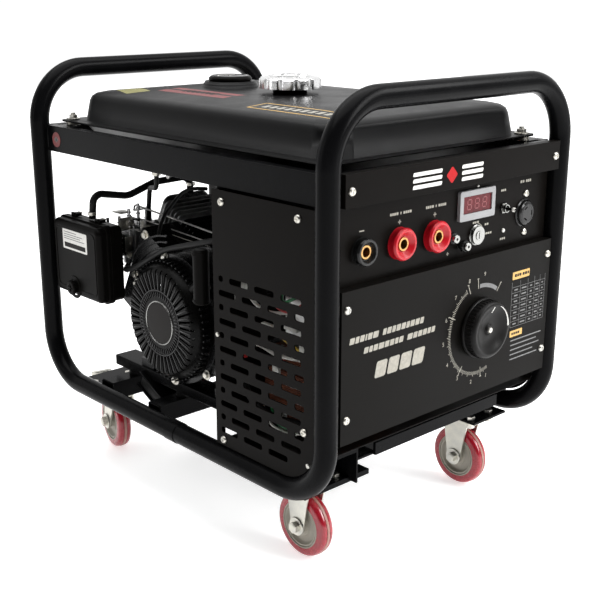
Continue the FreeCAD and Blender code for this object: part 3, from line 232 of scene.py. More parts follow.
# how far the edges of a node are rounded, mm
EDGE_BREAK = {"fuel_tank": 0.0, "hoses": 0.0, "muffler": 0.0, "side_cover_left": 0.35,
              "side_cover_right": 0.35, "recoil_cover": 0.3, "cylinder_head": 0.5, "alternator_housing": 0.6,
              "flywheel_fan": 0.4, "panel_screws": 0.15, "base_bolts": 0.3, "tank_bolts": 0.3,
              "engine_bed": 1.5, "base_frame": 0.9, "top_rails": 1.2, "brow_panel": 1.0, "lower_panel": 1.0,
              "socket_panel": 0.3, "panel_meter": 0.6, "panel_fittings": 0.25, "toggle_lever": 0.3,
              "key_barrel": 0.25, "socket_inserts": 0.3}
USUAL_BREAK = 0.5
SHARP, FLAT = 38.0, 0.2  # degrees: edges bent by more are rounded, edges bent by less are dissolved


def break_edges(obj, width):
    """Join the split faces of a CAD mesh, round its sharp edges and shade it evenly."""
    weld = obj.modifiers.new("weld", "WELD")
    weld.merge_threshold = 1e-6
    merge = obj.modifiers.new("flats", "DECIMATE")
    merge.decimate_type = "DISSOLVE"
    merge.angle_limit = math.radians(FLAT)
    if width:
        bevel = obj.modifiers.new("edges", "BEVEL")
        bevel.width, bevel.segments, bevel.angle_limit = width / 1000, 2, math.radians(SHARP)
    obj.modifiers.new("normals", "WEIGHTED_NORMAL").keep_sharp = True


def dress_nodes():
    """Give every CAD node its finish and break its sharp edges."""
    for part in frame["record"]["subparts"]:
        obj = NODES[part["node"]]
        obj.data.materials[0] = FINISHES[part["material_slot"]]
        for face in obj.data.polygons:
            face.use_smooth = True
        break_edges(obj, EDGE_BREAK.get(part["node"], USUAL_BREAK))
    for name, other in (("socket_negative", GLOSSY), ("ac_outlet", GLOSSY), ("lower_panel", LOWER_PLATE_LIT),
                        ("recoil_cover", RECOIL_ENAMEL), ("crankcase", FINISHES["engine_black"])):
        NODES[name].data.materials[0] = other


# ------------------------------------------------------------------ mesh building
def facing(u, v, origin=(0, 0, 0)):
    """Plane matrix: u and v lie in it, its normal is u x v."""
    u, v = Vector(u), Vector(v)
    return Matrix.Translation(origin) @ Matrix((u, v, u.cross(v))).transposed().to_4x4()


def front(y):
    return facing(X, Z, (0, y, 0))


def left(x):
    return facing(-Y, Z, (x, 0, 0))


def along(axis, origin):
    """Matrix that stands +Z up along axis at origin."""
    return Matrix.Translation(origin) @ Z.rotation_difference(Vector(axis)).to_matrix().to_4x4()


def add_prism(bm, place, outline, low, high):
    """Extruded outline in the plane of place, between two heights along its normal."""
    rings = [[bm.verts.new(place @ Vector((u, v, h))) for u, v in outline] for h in (low, high)]
    bm.faces.new(list(reversed(rings[0])))
    bm.faces.new(rings[1])
    count = len(outline)
    for k in range(count):
        n = (k + 1) % count
        bm.faces.new((rings[0][k], rings[0][n], rings[1][n], rings[1][k]))


def add_turned(bm, place, profile, segments):
    """Surface of revolution about the normal of place; profile is (height, radius) pairs."""
    rings = []
    for height, radius in profile:
        if radius < 1e-6:
            rings.append([bm.verts.new(place @ Vector((0, 0, height)))])
            continue
        rings.append([bm.verts.new(place @ Vector((radius * math.cos(a), radius * math.sin(a), height)))
                      for a in (2 * math.pi * k / segments for k in range(segments))])
    for lower, upper in zip(rings, rings[1:]):
        for k in range(segments):
            n = (k + 1) % segments
            corners = [lower[k % len(lower)], lower[n % len(lower)], upper[n % len(upper)],
                       upper[k % len(upper)]]
            bm.faces.new(list(dict.fromkeys(corners)))


def add_block(bm, place, size, bevel, segments=2):
    """Block with rounded edges, centred at the origin of place."""
    made = bmesh.ops.create_cube(bm, size=1, matrix=place @ Matrix.Diagonal((*size, 1)))
    edges = {e for v in made["verts"] for e in v.link_edges}
    bmesh.ops.bevel(bm, geom=list(edges), offset=bevel, segments=segments, profile=0.5, affect="EDGES")


def add_block_ring(bm, place, count, radius, height, size, bevel, segments=2):
    """Blocks spaced evenly round the normal of place."""
    for k in range(count):
        add_block(bm, place @ turn_by(360 / count * k) @ at(radius, 0, height), size, bevel, segments)


def rounded(w, h, corner, steps=3, centre=(0, 0), turn=0.0, slant=0.0):
    """Outline of a rounded rectangle, leaned over by slant and turned in its plane."""
    points = []
    corner = min(corner, w / 2 - 1e-3, h / 2 - 1e-3)
    for sx, sy, start in ((1, 1, 0), (-1, 1, 90), (-1, -1, 180), (1, -1, 270)):
        for k in range(steps + 1):
            a = math.radians(start + 90 * k / steps)
            u = sx * (w / 2 - corner) + corner * math.cos(a)
            v = sy * (h / 2 - corner) + corner * math.sin(a)
            u += slant * v
            c, s = math.cos(turn), math.sin(turn)
            points.append((centre[0] + u * c - v * s, centre[1] + u * s + v * c))
    return points


def disc(radius, steps=24):
    angles = [2 * math.pi * k / steps for k in range(steps)]
    return [(radius * math.cos(a), radius * math.sin(a)) for a in angles]


def arc_band(inner, outer, start, end, centre=(0, 0)):
    """Outline of part of a flat ring, angles in degrees."""
    steps = 24
    angles = [math.radians(start + (end - start) * k / steps) for k in range(steps + 1)]
    outside = [(centre[0] + outer * math.cos(a), centre[1] + outer * math.sin(a)) for a in angles]
    inside = [(centre[0] + inner * math.cos(a), centre[1] + inner * math.sin(a)) for a in reversed(angles)]
    return outside + inside


def polar(cx, cz, angle, radius):
    a = math.radians(angle)
    return cx + radius * math.cos(a), cz + radius * math.sin(a)


def tick(cx, cz, angle, inner, outer, width):
    mid = (inner + outer) / 2
    return rounded(outer - inner, width, 0.2, 2, polar(cx, cz, angle, mid), turn=math.radians(angle))


def linked(name, data):
    """New object in the scene."""
    obj = bpy.data.objects.new(name, data)
    bpy.context.scene.collection.objects.link(obj)
    return obj


def shown(name, bm, look, body="machine", slot=None, crease=34.0):
    """Finish a mesh in millimetres as a piece that rides on a body.

    look is a material, or the name of a finish.
    """
    material = look
    if isinstance(look, str):
        material, slot = FINISHES[look], look
    bmesh.ops.transform(bm, matrix=TO_FRAME, verts=bm.verts)
    bmesh.ops.recalc_face_normals(bm, faces=bm.faces)
    for face in bm.faces:
        face.smooth = True
    for edge in bm.edges:
        if len(edge.link_faces) == 2 and edge.calc_face_angle(0) > math.radians(crease):
            edge.smooth = False
    mesh = bpy.data.meshes.new(name)
    bm.to_mesh(mesh)
    bm.free()
    mesh.materials.append(material)
    obj = linked(name, mesh)
    if body:
        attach(obj, body)
    return obj


def printed(name, place, outlines, material, thick=0.12):
    """Flat print or sticker: thin raised outlines on a plane."""
    bm = bmesh.new()
    for outline in outlines:
        add_prism(bm, place, outline, 0.02, thick)
    shown(name, bm, material)


def turned(name, place, profile, look, body="machine", segments=48, **options):
    """Piece that is one surface of revolution."""
    bm = bmesh.new()
    add_turned(bm, place, profile, segments)
    return shown(name, bm, look, body, **options)


CURVE_ORDER = 3
SPRING_WIRE_R = 0.5


def cable(name, points, radius, material):
    """Round cable, wire or rod along a smooth line."""
    curve = bpy.data.curves.new(name, "CURVE")
    curve.dimensions = "3D"
    curve.bevel_depth = radius / 1000
    curve.bevel_resolution = 3
    curve.resolution_u = 6
    curve.use_fill_caps = True
    spline = curve.splines.new("NURBS")
    spline.points.add(len(points) - 1)
    for point, place in zip(spline.points, points):
        point.co = (*(TO_FRAME @ Vector(place)), 1)
    spline.order_u = CURVE_ORDER
    spline.use_endpoint_u = True
    curve.materials.append(material)
    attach(linked(name, curve), "machine")


def hex_outline(across):
    return disc(across / 2 / math.cos(math.pi / 6), steps=6)


def add_bolt(bm, origin, axis, across, washer=True):
    """Flanged hexagon bolt head standing on a face."""
    place = along(axis, origin)
    if washer:
        add_turned(bm, place, [(0, 0), (0, across * 0.95), (1.0, across * 0.92), (1.3, across * 0.6),
                               (1.3, 0)], 24)
    add_prism(bm, place, hex_outline(across), 1.2, across * 0.55)
    add_turned(bm, place, [(across * 0.55, across * 0.46), (across * 0.6, across * 0.4), (across * 0.6, 0)],
               24)


def make_bolts(name, groups):
    """Zinc bolt heads; each group is (places, axis, width across the flats)."""
    bm = bmesh.new()
    for places, axis, across in groups:
        for place in places:
            add_bolt(bm, place, axis, across)
    shown(name, bm, "zinc_bolts")


def ring(x, centre, radius, count, start, squash=1.0):
    """Places spaced evenly round a circle that faces X."""
    angles = [math.radians(start + 360 / count * k) for k in range(count)]
    return [(x, centre[0] + radius * math.cos(a), centre[1] + radius * squash * math.sin(a)) for a in angles]


# ------------------------------------------------------------------ casters
WHEEL_TURN = {"wheel_front_left": 0.0, "wheel_front_right": 0.0, "wheel_rear_left": -12.5,
              "wheel_rear_right": 14.0}
SWIVELS = {"left": (-176.0, 254.0), "right": (176.0, 254.0)}


def centre_of(name):
    low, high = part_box(name)
    return TO_FRAME.inverted() @ ((low + high) / 2)


def both_ways(profile):
    """Half a profile, from the outside to the middle, completed with its mirror image."""
    return profile + [(-h, r) for h, r in reversed(profile)]


# turned profiles of a wheel, from its left face to its middle plane
TREAD = both_ways([(-12, 36.2), (-12, 41.5), (-11.5, 44.6), (-10.2, 47.0), (-8.0, 48.7), (-5.4, 49.5),
                   (-3.4, 49.6), (-2.9, 49.1), (-2.2, 49.1)])
SEAM_BAND = both_ways([(-2.3, 48.9), (-2.2, 49.7), (-1.4, 50.0)])
HUB = both_ways([(-14, 5.2), (-14, 9.0), (-12.8, 9.4), (-12.8, 11.6), (-9.4, 12.8), (-9.0, 17.0),
                 (-6.4, 18.4), (-5.6, 21.0), (-5.4, 26.0), (-6.4, 28.4), (-10.4, 29.8), (-11.4, 30.6),
                 (-11.4, 32.2), (-10.2, 32.8), (-10.2, 33.6), (-12.3, 34.4), (-12.3, 35.6), (-11.6, 36.2)])


def make_wheels():
    for name, turn in WHEEL_TURN.items():
        a = math.radians(turn)
        place = along((math.cos(a), math.sin(a), 0), centre_of(name))
        tyre = turned(name + "_tyre", place, TREAD, TYRE, name, 72, slot="caster_wheel")
        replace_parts(tyre, name)
        turned(name + "_seam", place, SEAM_BAND, SEAM, name, 72, slot="caster_wheel")
        turned(name + "_hub", place, HUB, "caster_wheel", name, 60, crease=50)


def soften_mesh(bm, width):
    """Round every edge of a mesh that is bent by more than 50 degrees."""
    limit = math.radians(50)
    edges = [e for e in bm.edges if len(e.link_faces) == 2 and e.calc_face_angle(0) > limit]
    bmesh.ops.bevel(bm, geom=edges, offset=width, segments=2, profile=0.5, affect="EDGES")


def cheek_outline(axle_y, top):
    """Fork side plate: wide at the crown, waisted, with a round eye at the axle."""
    lip, eye, waist = 25.0, 13.5, 16.5
    points = [(-lip, top), (-lip, top - 12), (axle_y * 0.5 - waist - 4, (top + 50) / 2 + 6)]
    points += [(axle_y + eye * math.cos(a), 50 + eye * math.sin(a))
               for a in (math.radians(180 + 12 * k) for k in range(16))]
    points += [(axle_y * 0.5 + waist + 4, (top + 50) / 2 + 6), (lip, top - 12), (lip, top)]
    return points


def add_fork(bm, place, axle_y, top):
    """Pressed fork with its crown, and the axle bolt through both cheeks."""
    for x in (-17.3, 14.3):
        add_prism(bm, place @ facing(Y, Z, (x, 0, 0)), cheek_outline(axle_y, top), 0, 3.0)
        add_turned(bm, place @ along(X, (x + 1.5, axle_y, 50)),
                   both_ways([(-2.3, 6.0), (-2.3, 10.0), (-1.5, 11.2)]), 36)
    add_prism(bm, place @ at(0, 0, top - 3), rounded(34.6, 50, 3, 3), 0, 3.0)
    soften_mesh(bm, 0.7)
    add_bolt(bm, place @ Vector((-18.6, axle_y, 50)), place.to_3x3() @ -X, 15.0)
    add_bolt(bm, place @ Vector((18.6, axle_y, 50)), place.to_3x3() @ X, 15.0)
    add_turned(bm, place @ along(X, (-18, axle_y, 50)), [(0, 0), (0, 5), (43.5, 5), (44.5, 4.2), (44.5, 0)],
               24)


TRAIL = 25.0            # swivel axis to wheel axle


def make_forks():
    """Front forks, and the rear ones with their brake pedals."""
    bm = bmesh.new()
    for x in (-178.5, 178.5):
        add_fork(bm, at(x, -241.0, 0), 0.0, 122.0)
    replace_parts(shown("front_forks", bm, "zinc_caster"), "caster_forks_front")
    for side, (x, y) in SWIVELS.items():
        turn = WHEEL_TURN["wheel_rear_" + side]
        place = at(x, y, 0) @ turn_by(turn)
        bm = bmesh.new()
        add_prism(bm, place @ at(0, 0, 109), rounded(18, 44, 2, 2, (0, 41)), 0, 3.0)
        pedal = place @ at(0, 58, 111.5) @ turn_by(11, "X")
        add_prism(bm, pedal, rounded(40, 42, 6, 4, (0, 20)), 0, 3.0)
        for k in range(5):
            add_block(bm, pedal @ at(0, 6 + 7 * k, 3.4), (26, 2.2, 1.4), 0.4, 1)
        add_fork(bm, place, TRAIL, 112.0)
        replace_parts(shown("rear_fork_" + side, bm, "zinc_caster", "caster_fork_" + side), "fork_rear_" + side)


BALL_RACE = [(0, 24.0), (0.2, 26.0), (1.6, 27.0), (7.6, 27.0), (9.4, 25.4), (11.6, 24.4), (11.6, 23.2)]


def make_caster_trim():
    """Ball race cups between the rear forks and their plates."""
    for side, (x, y) in SWIVELS.items():
        turned("ball_race_" + side, along(Z, (x, y, 109.2)), BALL_RACE, "zinc_caster", "caster_fork_" + side)


# ------------------------------------------------------------------ engine side
CRANK = (50.0, 300.0)
RECOIL_FACE = -224.0
EAR_ANGLES, EAR_RADIUS = (35, 155, 275), 99.0   # fixing ears of the recoil cover


def around_crank(x, angle=0.0, radius=0.0):
    """Plane facing -X at the crank axis, turned by angle, with its origin out along the radius."""
    return left(x) @ at(-CRANK[0], CRANK[1], 0) @ turn_by(angle) @ at(radius, 0, 0)


def make_recoil_trim():
    """Ribbed inner ring, badge and rim bolts of the recoil cover."""
    bm = bmesh.new()
    face = around_crank(RECOIL_FACE)
    add_block_ring(bm, face, 56, 46.5, 0.5, (8.0, 1.7, 1.6), 0.35)
    add_block_ring(bm, face, 40, 67.5, 0.2, (26.0, 2.4, 1.6), 0.6)
    add_turned(bm, face, [(0, 54.2), (0.9, 53.8), (0.9, 52.4), (0, 52.0)], 72)
    shown("recoil_grille_ring", bm, "engine_black")
    turned("recoil_badge", face, [(0, 33.4), (0.7, 33.0), (1.1, 24.0), (1.3, 12.0), (1.4, 0)], BADGE,
           segments=72)
    turned("recoil_badge_ring", face, [(0, 36.2), (1.2, 35.8), (1.7, 34.9), (1.2, 33.9), (0, 33.5)],
           "switch_chrome", segments=72)
    bm = bmesh.new()
    add_block_ring(bm, around_crank(-204.5), 60, 97.2, 0, (2.4, 3.4, 15.0), 0.7, 1)
    shown("recoil_side_ribs", bm, "engine_black")
    bm = bmesh.new()
    for angle in EAR_ANGLES:
        add_turned(bm, around_crank(-199.0, angle, EAR_RADIUS), [(-6, 10), (3, 10), (4, 9), (4, 0)], 24)
    shown("recoil_ears", bm, "engine_black")
    spots = [around_crank(-203.0, angle, EAR_RADIUS).translation for angle in EAR_ANGLES]
    make_bolts("recoil_bolts", [(spots, -X, 9.0)])


def make_shroud_ribs():
    """Curved stiffening ribs that sweep over the fan housing and its duct."""
    bm = bmesh.new()
    count = 26
    for radius in (112.0, 122.0, 132.0):
        for j in range(count):
            angle = 24 + 78 * j / (count - 1)
            y, z = polar(62, 300, angle, radius)
            if (y - CRANK[0]) ** 2 + (z - CRANK[1]) ** 2 > 104 ** 2 and y > 66:
                place = left(-192.4) @ at(-y, z, 0) @ turn_by(90 - angle)
                add_block(bm, place, (radius * 0.06, 3.4, 3.2), 0.8, 1)
    shown("shroud_ribs", bm, "engine_black")
    spots = [(-192.0, y, z) for y, z in ((74, 398), (126, 424), (160, 352), (-34, 372), (-28, 226))]
    make_bolts("shroud_bolts", [(spots, -X, 9.0)])


def make_grip_trim():
    """Rolled ends of the starter handle."""
    x, y, z = centre_of("starter_grip")
    low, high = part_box("starter_grip")
    x = low.x * 1000 + 12.5
    y = (high.y - SHIFT_Y) * 1000 - 12.5
    half = (high.z - low.z) * 500
    bm = bmesh.new()
    for end in (-1, 1):
        add_turned(bm, along(Z * end, (x, y, z)), [(half - 9, 12.4), (half - 8, 13.2), (half - 5, 13.2),
                                                   (half - 4, 12.4)], 40)
    shown("starter_grip_rings", bm, "black_plastic", "starter_grip")


ROPE_INNER, ROPE_OUTER = Vector((-212.5, -50.0, 386.5)), Vector((-222.0, -55.0, 390.0))
ROPE_R = 2.0


def make_starter_rope():
    """Rope from the recoil cover's guide into the grip."""
    run = ROPE_OUTER - ROPE_INNER
    bm = bmesh.new()
    rings = [(run.length * k / 48, ROPE_R) for k in range(49)]
    add_turned(bm, along(run, ROPE_INNER), [(0, 0)] + rings + [(run.length, 0)], 16)
    rope = shown("starter_rope", bm, ROPE_WEAVE, None)
    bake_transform(rope)


AIR_FACE = -245.0


def make_air_cleaner_trim():
    """Label, wing nut, step and clips of the air cleaner."""
    face = left(AIR_FACE)
    label = face @ at(-259, 399, 0)
    printed("air_label", label, [rounded(76, 34, 2)], INK_WHITE)
    widths = ((40, 12.5), (58, 8.5), (52, 4.8), (64, 1.2))
    lines = [rounded(w, 1.3, 0.3, 2, (-34 + w / 2, v)) for w, v in widths]
    printed("air_label_lines", label, lines, INK_GREY, 0.2)
    printed("air_label_bar", label, [rounded(66, 8, 0.6, 2, (0, -9.5))], BADGE, 0.2)
    bm = bmesh.new()
    spot = face @ at(-266, 318, 0)
    profile = [(5.6, 12.2), (8.6, 12.2), (10.4, 10.6), (10.8, 6.0), (9.6, 4.0), (9.4, 0)]
    add_turned(bm, spot, profile, 40)
    add_block_ring(bm, spot, 14, 12.2, 7.2, (1.4, 2.0, 3.4), 0.4, 1)
    for angle in (0, 90):
        add_block(bm, spot @ turn_by(angle) @ at(0, 0, 10.6), (15, 1.8, 1.6), 0.4)
    add_turned(bm, spot, [(0, 20), (1.6, 18.6), (1.6, 14.5), (0.4, 13.5)], 48)
    shown("air_cover_nut", bm, "black_plastic", "air_cleaner_cover")
    bm = bmesh.new()
    outer, inner = rounded(125, 108, 12, 6), rounded(118, 101, 9, 6)
    add_frame(bm, face @ at(-258.5, 366, 0), outer, inner, -0.2, 0.8)
    shown("air_cover_step", bm, "black_plastic", "air_cleaner_cover")
    bm = bmesh.new()
    for y in (222.0, 297.0):
        add_block(bm, at(-216, y, 435.5), (13, 15, 5.5), 1.0)
        add_block(bm, at(-222, y, 437.5), (4, 10, 5), 0.8)
    shown("air_clips", bm, "black_plastic")
    bm = bmesh.new()
    for y in (222.0, 297.0):
        add_block(bm, at(-209, y, 438.0), (3, 11, 2), 0.5)
    shown("air_clip_springs", bm, "zinc_bolts")


def add_frame(bm, place, outer, inner, low, high):
    """Flat ring between two outlines that have the same number of points."""
    loops = [[bm.verts.new(place @ Vector((u, v, h))) for u, v in line]
             for line, h in ((outer, low), (outer, high), (inner, high), (inner, low))]
    count = len(outer)
    for first, second in zip(loops, loops[1:] + loops[:1]):
        for k in range(count):
            n = (k + 1) % count
            bm.faces.new((first[k], first[n], second[n], second[k]))


def coil_spring(name, start, end, radius, turns, material):
    """Small wire spring between two points."""
    start, end = Vector(start), Vector(end)
    axis = end - start
    place = along(axis, start)
    steps = turns * 10
    points = [place @ Vector((radius * math.cos(2 * math.pi * k / 10),
                              radius * math.sin(2 * math.pi * k / 10),
                              axis.length * k / steps)) for k in range(steps + 1)]
    cable(name, [start] + points + [end], SPRING_WIRE_R, material)


def make_carburettor_trim():
    """Screws, brackets, spring, wires and hose clips round the carburettor."""
    zinc = FINISHES["zinc_bolts"]
    bm = bmesh.new()
    for x, y in ((-158, 211), (-158, 242), (-112, 211), (-112, 242)):
        add_bolt(bm, (x, y, 421.5), Z, 6.0, washer=False)
    for x, y in ((-148, 205.5), (-128, 205.5)):
        add_bolt(bm, (x, y, 396), -Y, 6.0, washer=False)
    for y in (212.0, 246.0):
        add_bolt(bm, (-168.5, y, 372), -X, 8.0)
    shown("carburettor_screws", bm, "zinc_bolts")
    bm = bmesh.new()
    add_block(bm, at(-146, 196, 402), (40, 2, 30), 0.8)
    add_block(bm, at(-146, 188, 417), (40, 18, 2), 0.8)
    add_block(bm, at(-160, 180, 426), (2, 14, 18), 0.6)
    shown("control_bracket", bm, "steel")
    coil_spring("idle_spring", (-158, 184, 424), (-158, 150, 426), 3.0, 12, zinc)
    cable("idle_spring_wire", [(-158, 150, 426), (-156, 120, 424), (-140, 70, 414), (-128, 40, 410)], 0.7,
          zinc)
    cable("choke_wire", [(-152, 196, 434), (-149, 160, 431), (-136, 40, 420), (-124, -80, 408),
                         (-120, -122, 405)],
          1.1, FINISHES["steel"])
    cable("coil_lead", [(-186, 104, 405), (-170, 120, 440), (-120, 150, 462), (-60, 190, 478),
                        (-20, 186, 470)],
          3.2, FINISHES["rubber_black"])
    bm = bmesh.new()
    for y in (216.0, 242.0):
        add_turned(bm, along(X, (-186, 237, 386)), [(-2.5, 18.4), (-2.5, 19.4), (2.5, 19.4), (2.5, 18.4)], 48)
    for centre, axis in (((-210, 256, 442), Z), ((-150, 150, 516), Z), ((-24, 226, 474), Z)):
        add_turned(bm, along(axis, centre), [(-2.5, 6.2), (-2.5, 7.2), (2.5, 7.2), (2.5, 6.2)], 32)
    shown("hose_clips", bm, "zinc_bolts")


def make_isolators():
    """Sloping shear mounts between the engine bed and the cross channels."""
    steel, rubber = bmesh.new(), bmesh.new()
    for x in (-176.0, 31.0):
        middle = at(x, 122, 152) @ turn_by(26, "X")
        for height in (-13, 13):
            add_block(steel, middle @ at(0, 0, height), (42, 84, 4), 1.0)
        add_block(rubber, middle, (36, 74, 24), 4.0)
    shown("isolator_plates", steel, "frame_black")
    shown("isolator_rubbers", rubber, "rubber_black")


def make_choke_stack():
    """Bowl, studs and stop plates that crowd the space beside the air cleaner."""
    bm = bmesh.new()
    add_turned(bm, along(Z, (-150, 226, 352)), [(0, 0), (0, 15), (3, 18), (26, 18), (28, 20), (33, 20),
                                                (33, 0)], 40)
    for x, y, low, high in ((-184, 214, 352, 440), (-184, 250, 352, 432), (-170, 206, 408, 452),
                            (-150, 208, 418, 458)):
        add_turned(bm, along(Z, (x, y, low)), [(0, 0), (0, 2.6), (high - low, 2.6), (high - low, 0)], 16)
        for k in range(int((high - low) / 9)):
            add_turned(bm, along(Z, (x, y, low + 4 + 9 * k)), [(0, 2.6), (0.6, 4.0), (2.4, 4.0), (3.0, 2.6)],
                       16)
    shown("choke_stack", bm, "cast_alloy")
    bm = bmesh.new()
    for x, y, z, size in ((-178, 204, 428, (26, 2, 22)), (-186, 232, 418, (2, 40, 12)),
                          (-176, 218, 446, (22, 26, 2)), (-174, 204, 392, (14, 2, 26)),
                          (-160, 202, 372, (18, 2, 12))):
        add_block(bm, at(x, y, z), size, 0.6)
    shown("stop_plates", bm, "zinc_bolts")


def make_block_trim():
    """Cover bolts on the engine and the alternator, and the alternator's fins."""
    make_bolts("engine_bolts", [
        (ring(-118.2, (50, 296), 70, 8, 22.5, 74 / 70), -X, 9.0),
        (ring(196.0, CRANK, 93, 6, 30), X, 9.0),
        (ring(196.0, CRANK, 34, 3, 90), X, 8.0),
        ([(x, y, 204.0) for x in (-168.0, 30.0) for y in (-55.0, 147.0)], Z, 13.0),
        ([(110.0, y, 204.0) for y in (30.0, 70.0)], Z, 11.0),
        ([(-40.0, -60.0, 216.0)], -Y, 14.0)])
    bm = bmesh.new()
    for k in range(28):
        a = 2 * math.pi * k / 28
        if math.sin(a) > -0.86:
            place = along(X, (125, 50 + 109 * math.cos(a), 300 + 109 * math.sin(a)))
            add_block(bm, place, (4, 4, 104), 0.8, 1)
    shown("alternator_fins", bm, "cast_alloy")


def make_muffler_trim():
    """Louvred heat guard and flange bolts on the silencer."""
    bm = bmesh.new()
    guard = facing(Y, Z, (186.4, 249, 402))
    add_prism(bm, guard, rounded(124, 112, 12, 5), 0, 2.0)
    for row in range(6):
        for column in (-1, 0, 1):
            spot = guard @ at(36 * column, -42 + 17 * row, 2.6)
            if not (row == 1 and column == 1):
                add_block(bm, spot @ Matrix.Rotation(0.35, 4, "X"), (28, 6, 1.6), 0.6)
    shown("muffler_guard", bm, "muffler_black")
    make_bolts("muffler_bolts", [([(188.2, y, z) for y in (196, 302) for z in (354, 450)], X, 9.0)])


# ------------------------------------------------------------------ control box inside
WIRES = (
    ("white", 2.6, [(-214, -160, 436), (-226, -168, 400), (-224, -190, 380), (-212, -214, 372),
                    (-206, -240, 380)]),
    ("green", 2.4, [(-205, -300, 448), (-228, -292, 425), (-230, -268, 408), (-224, -240, 396),
                    (-210, -226, 402)]),
    ("red", 2.4, [(-200, -310, 440), (-226, -300, 416), (-229, -276, 396), (-226, -244, 384),
                  (-212, -200, 392)]),
    ("yellow", 2.2, [(-190, -300, 330), (-222, -286, 334), (-228, -262, 344), (-222, -232, 350),
                     (-206, -200, 346)]),
    ("white", 3.0, [(-196, -150, 318), (-222, -166, 322), (-229, -200, 330), (-226, -240, 318),
                    (-214, -276, 322)]),
    ("red", 3.0, [(-205, -140, 290), (-224, -152, 306), (-229, -178, 312), (-226, -206, 306),
                  (-214, -236, 310)]),
    ("green", 2.2, [(-212, -306, 236), (-228, -288, 226), (-229, -252, 218), (-224, -222, 222),
                    (-208, -200, 232)]),
    ("white", 2.2, [(-212, -300, 226), (-227, -276, 214), (-229, -244, 211), (-222, -206, 213),
                    (-206, -180, 224)]),
    ("black", 5.5, [(-216, -145, 260), (-224, -166, 240), (-222, -204, 224), (-216, -240, 220),
                    (-206, -290, 226)]),
    ("black", 5.5, [(-178, -330, 470), (-196, -312, 430), (-205, -296, 380), (-205, -280, 330),
                    (-190, -262, 300)]),
    ("red", 5.0, [(-106, -330, 472), (-110, -306, 430), (-120, -294, 380), (-140, -290, 330),
                  (-150, -270, 300)]),
    ("black", 4.0, [(-20, -150, 420), (40, -170, 400), (120, -200, 300), (190, -160, 260), (160, -129, 240)]),
)
CONNECTORS = (((-225, -168, 405), (7, 17, 12)), ((-224, -212, 356), (7, 22, 11)),
              ((-222, -288, 340), (8, 20, 13)), ((-224, -262, 368), (7, 26, 10)),
              ((-226, -232, 300), (6, 12, 16)), ((-224, -302, 372), (7, 18, 12)),
              ((-226, -150, 388), (6, 10, 14)), ((-220, -240, 205), (14, 40, 4)))


def make_wiring():
    """Wires, connectors and the reactor's straps inside the control box."""
    for k, (color, radius, points) in enumerate(WIRES):
        cable(f"box_wire_{k}", points, radius, WIRE_COLORS[color])
    bm = bmesh.new()
    for centre, size in CONNECTORS:
        add_block(bm, Matrix.Translation(centre), size, 1.0)
        for j in range(3):
            rib = at(centre[0] - size[0] / 2, centre[1] - size[1] / 3 + j * size[1] / 3, centre[2])
            add_block(bm, rib, (1.0, 1.4, size[2] * 0.7), 0.3, 1)
    shown("box_connectors", bm, WHITE_PLASTIC)
    bm = bmesh.new()
    for z in (250, 272):
        add_block(bm, at(-203, -245, z), (2, 110, 7), 0.6)
    for y in (-285, -205):
        add_bolt(bm, (-190.2, y, 311), -X, 10.0)
        add_bolt(bm, (-190.2, y, 216), -X, 10.0)
    shown("reactor_straps", bm, "alloy_fins")


# ------------------------------------------------------------------ front panels
SOCKET_Y, LOWER_Y, BROW_Y = -345.0, -360.0, -364.0     # front faces of the three panels
SOCKETS = ((-178.0, 481.0), (-106.0, 480.0), (-34.5, 479.0))
METER = (53.5, 512.5, 79.0, 43.0)      # middle, width and height
KEY = (58.0, 466.0)
DIAL = (58.0, 328.0)
KNOB = (58.0, 330.0)


def bar_words(start, base, height, widths, gap, slant=0.0, corner=0.5):
    """Row of plain bars with the rhythm of a printed line."""
    outlines, u = [], start
    for width in widths:
        if width > 0:
            outlines.append(rounded(width, height, corner, 2, (u + width / 2, base + height / 2),
                                    slant=slant))
        u += abs(width) + gap
    return outlines


def make_socket_panel_print():
    """Marks, word bars and key positions round the sockets, and two pale lamps."""
    face = front(SOCKET_Y)
    marks = [rounded(9, 1.6, 0.4, 2, (-178, 507.5))]
    for x, z in ((-106, 509), (-34.5, 509)):
        marks += [rounded(6, 1.5, 0.3, 2, (x, z)), rounded(1.5, 6, 0.3, 2, (x, z))]
    for x in (-106, -34.5):
        marks += bar_words(x - 19, 519, 3.6, (3, 3, 3, 4, -2, 2, -2, 3, 3, 3, 4), 1.0)
    marks += bar_words(159, 529, 4.0, (4, 4, -2, 3, 3, 4), 1.2)
    marks += bar_words(113, 522, 3.2, (3, 3, 3), 1.0)
    marks += bar_words(50, 483, 3.0, (4, 3, 4), 1.2) + bar_words(78, 477, 3.0, (3, 4), 1.2)
    marks += bar_words(80, 463, 3.0, (4, 4, 4), 1.2) + bar_words(116, 449, 3.2, (3, 4, 3), 1.0)
    marks += [rounded(5, 1.4, 0.3, 2, (-4, 448)), rounded(1.4, 5, 0.3, 2, (-4, 448))]
    marks += [arc_band(16.5, 17.4, 25, 75, KEY), arc_band(16.5, 17.4, -30, 10, KEY)]
    printed("socket_panel_marks", face, marks, INK_CREAM)
    bm = bmesh.new()
    for x, z, r in ((57, 537.5, 1.8), (122, 463, 3.0)):
        add_turned(bm, face @ at(x, z, 0), [(0, r), (1.4, r), (2.2, r * 0.75), (2.6, 0)], 24)
    shown("panel_lamps", bm, WHITE_PLASTIC)


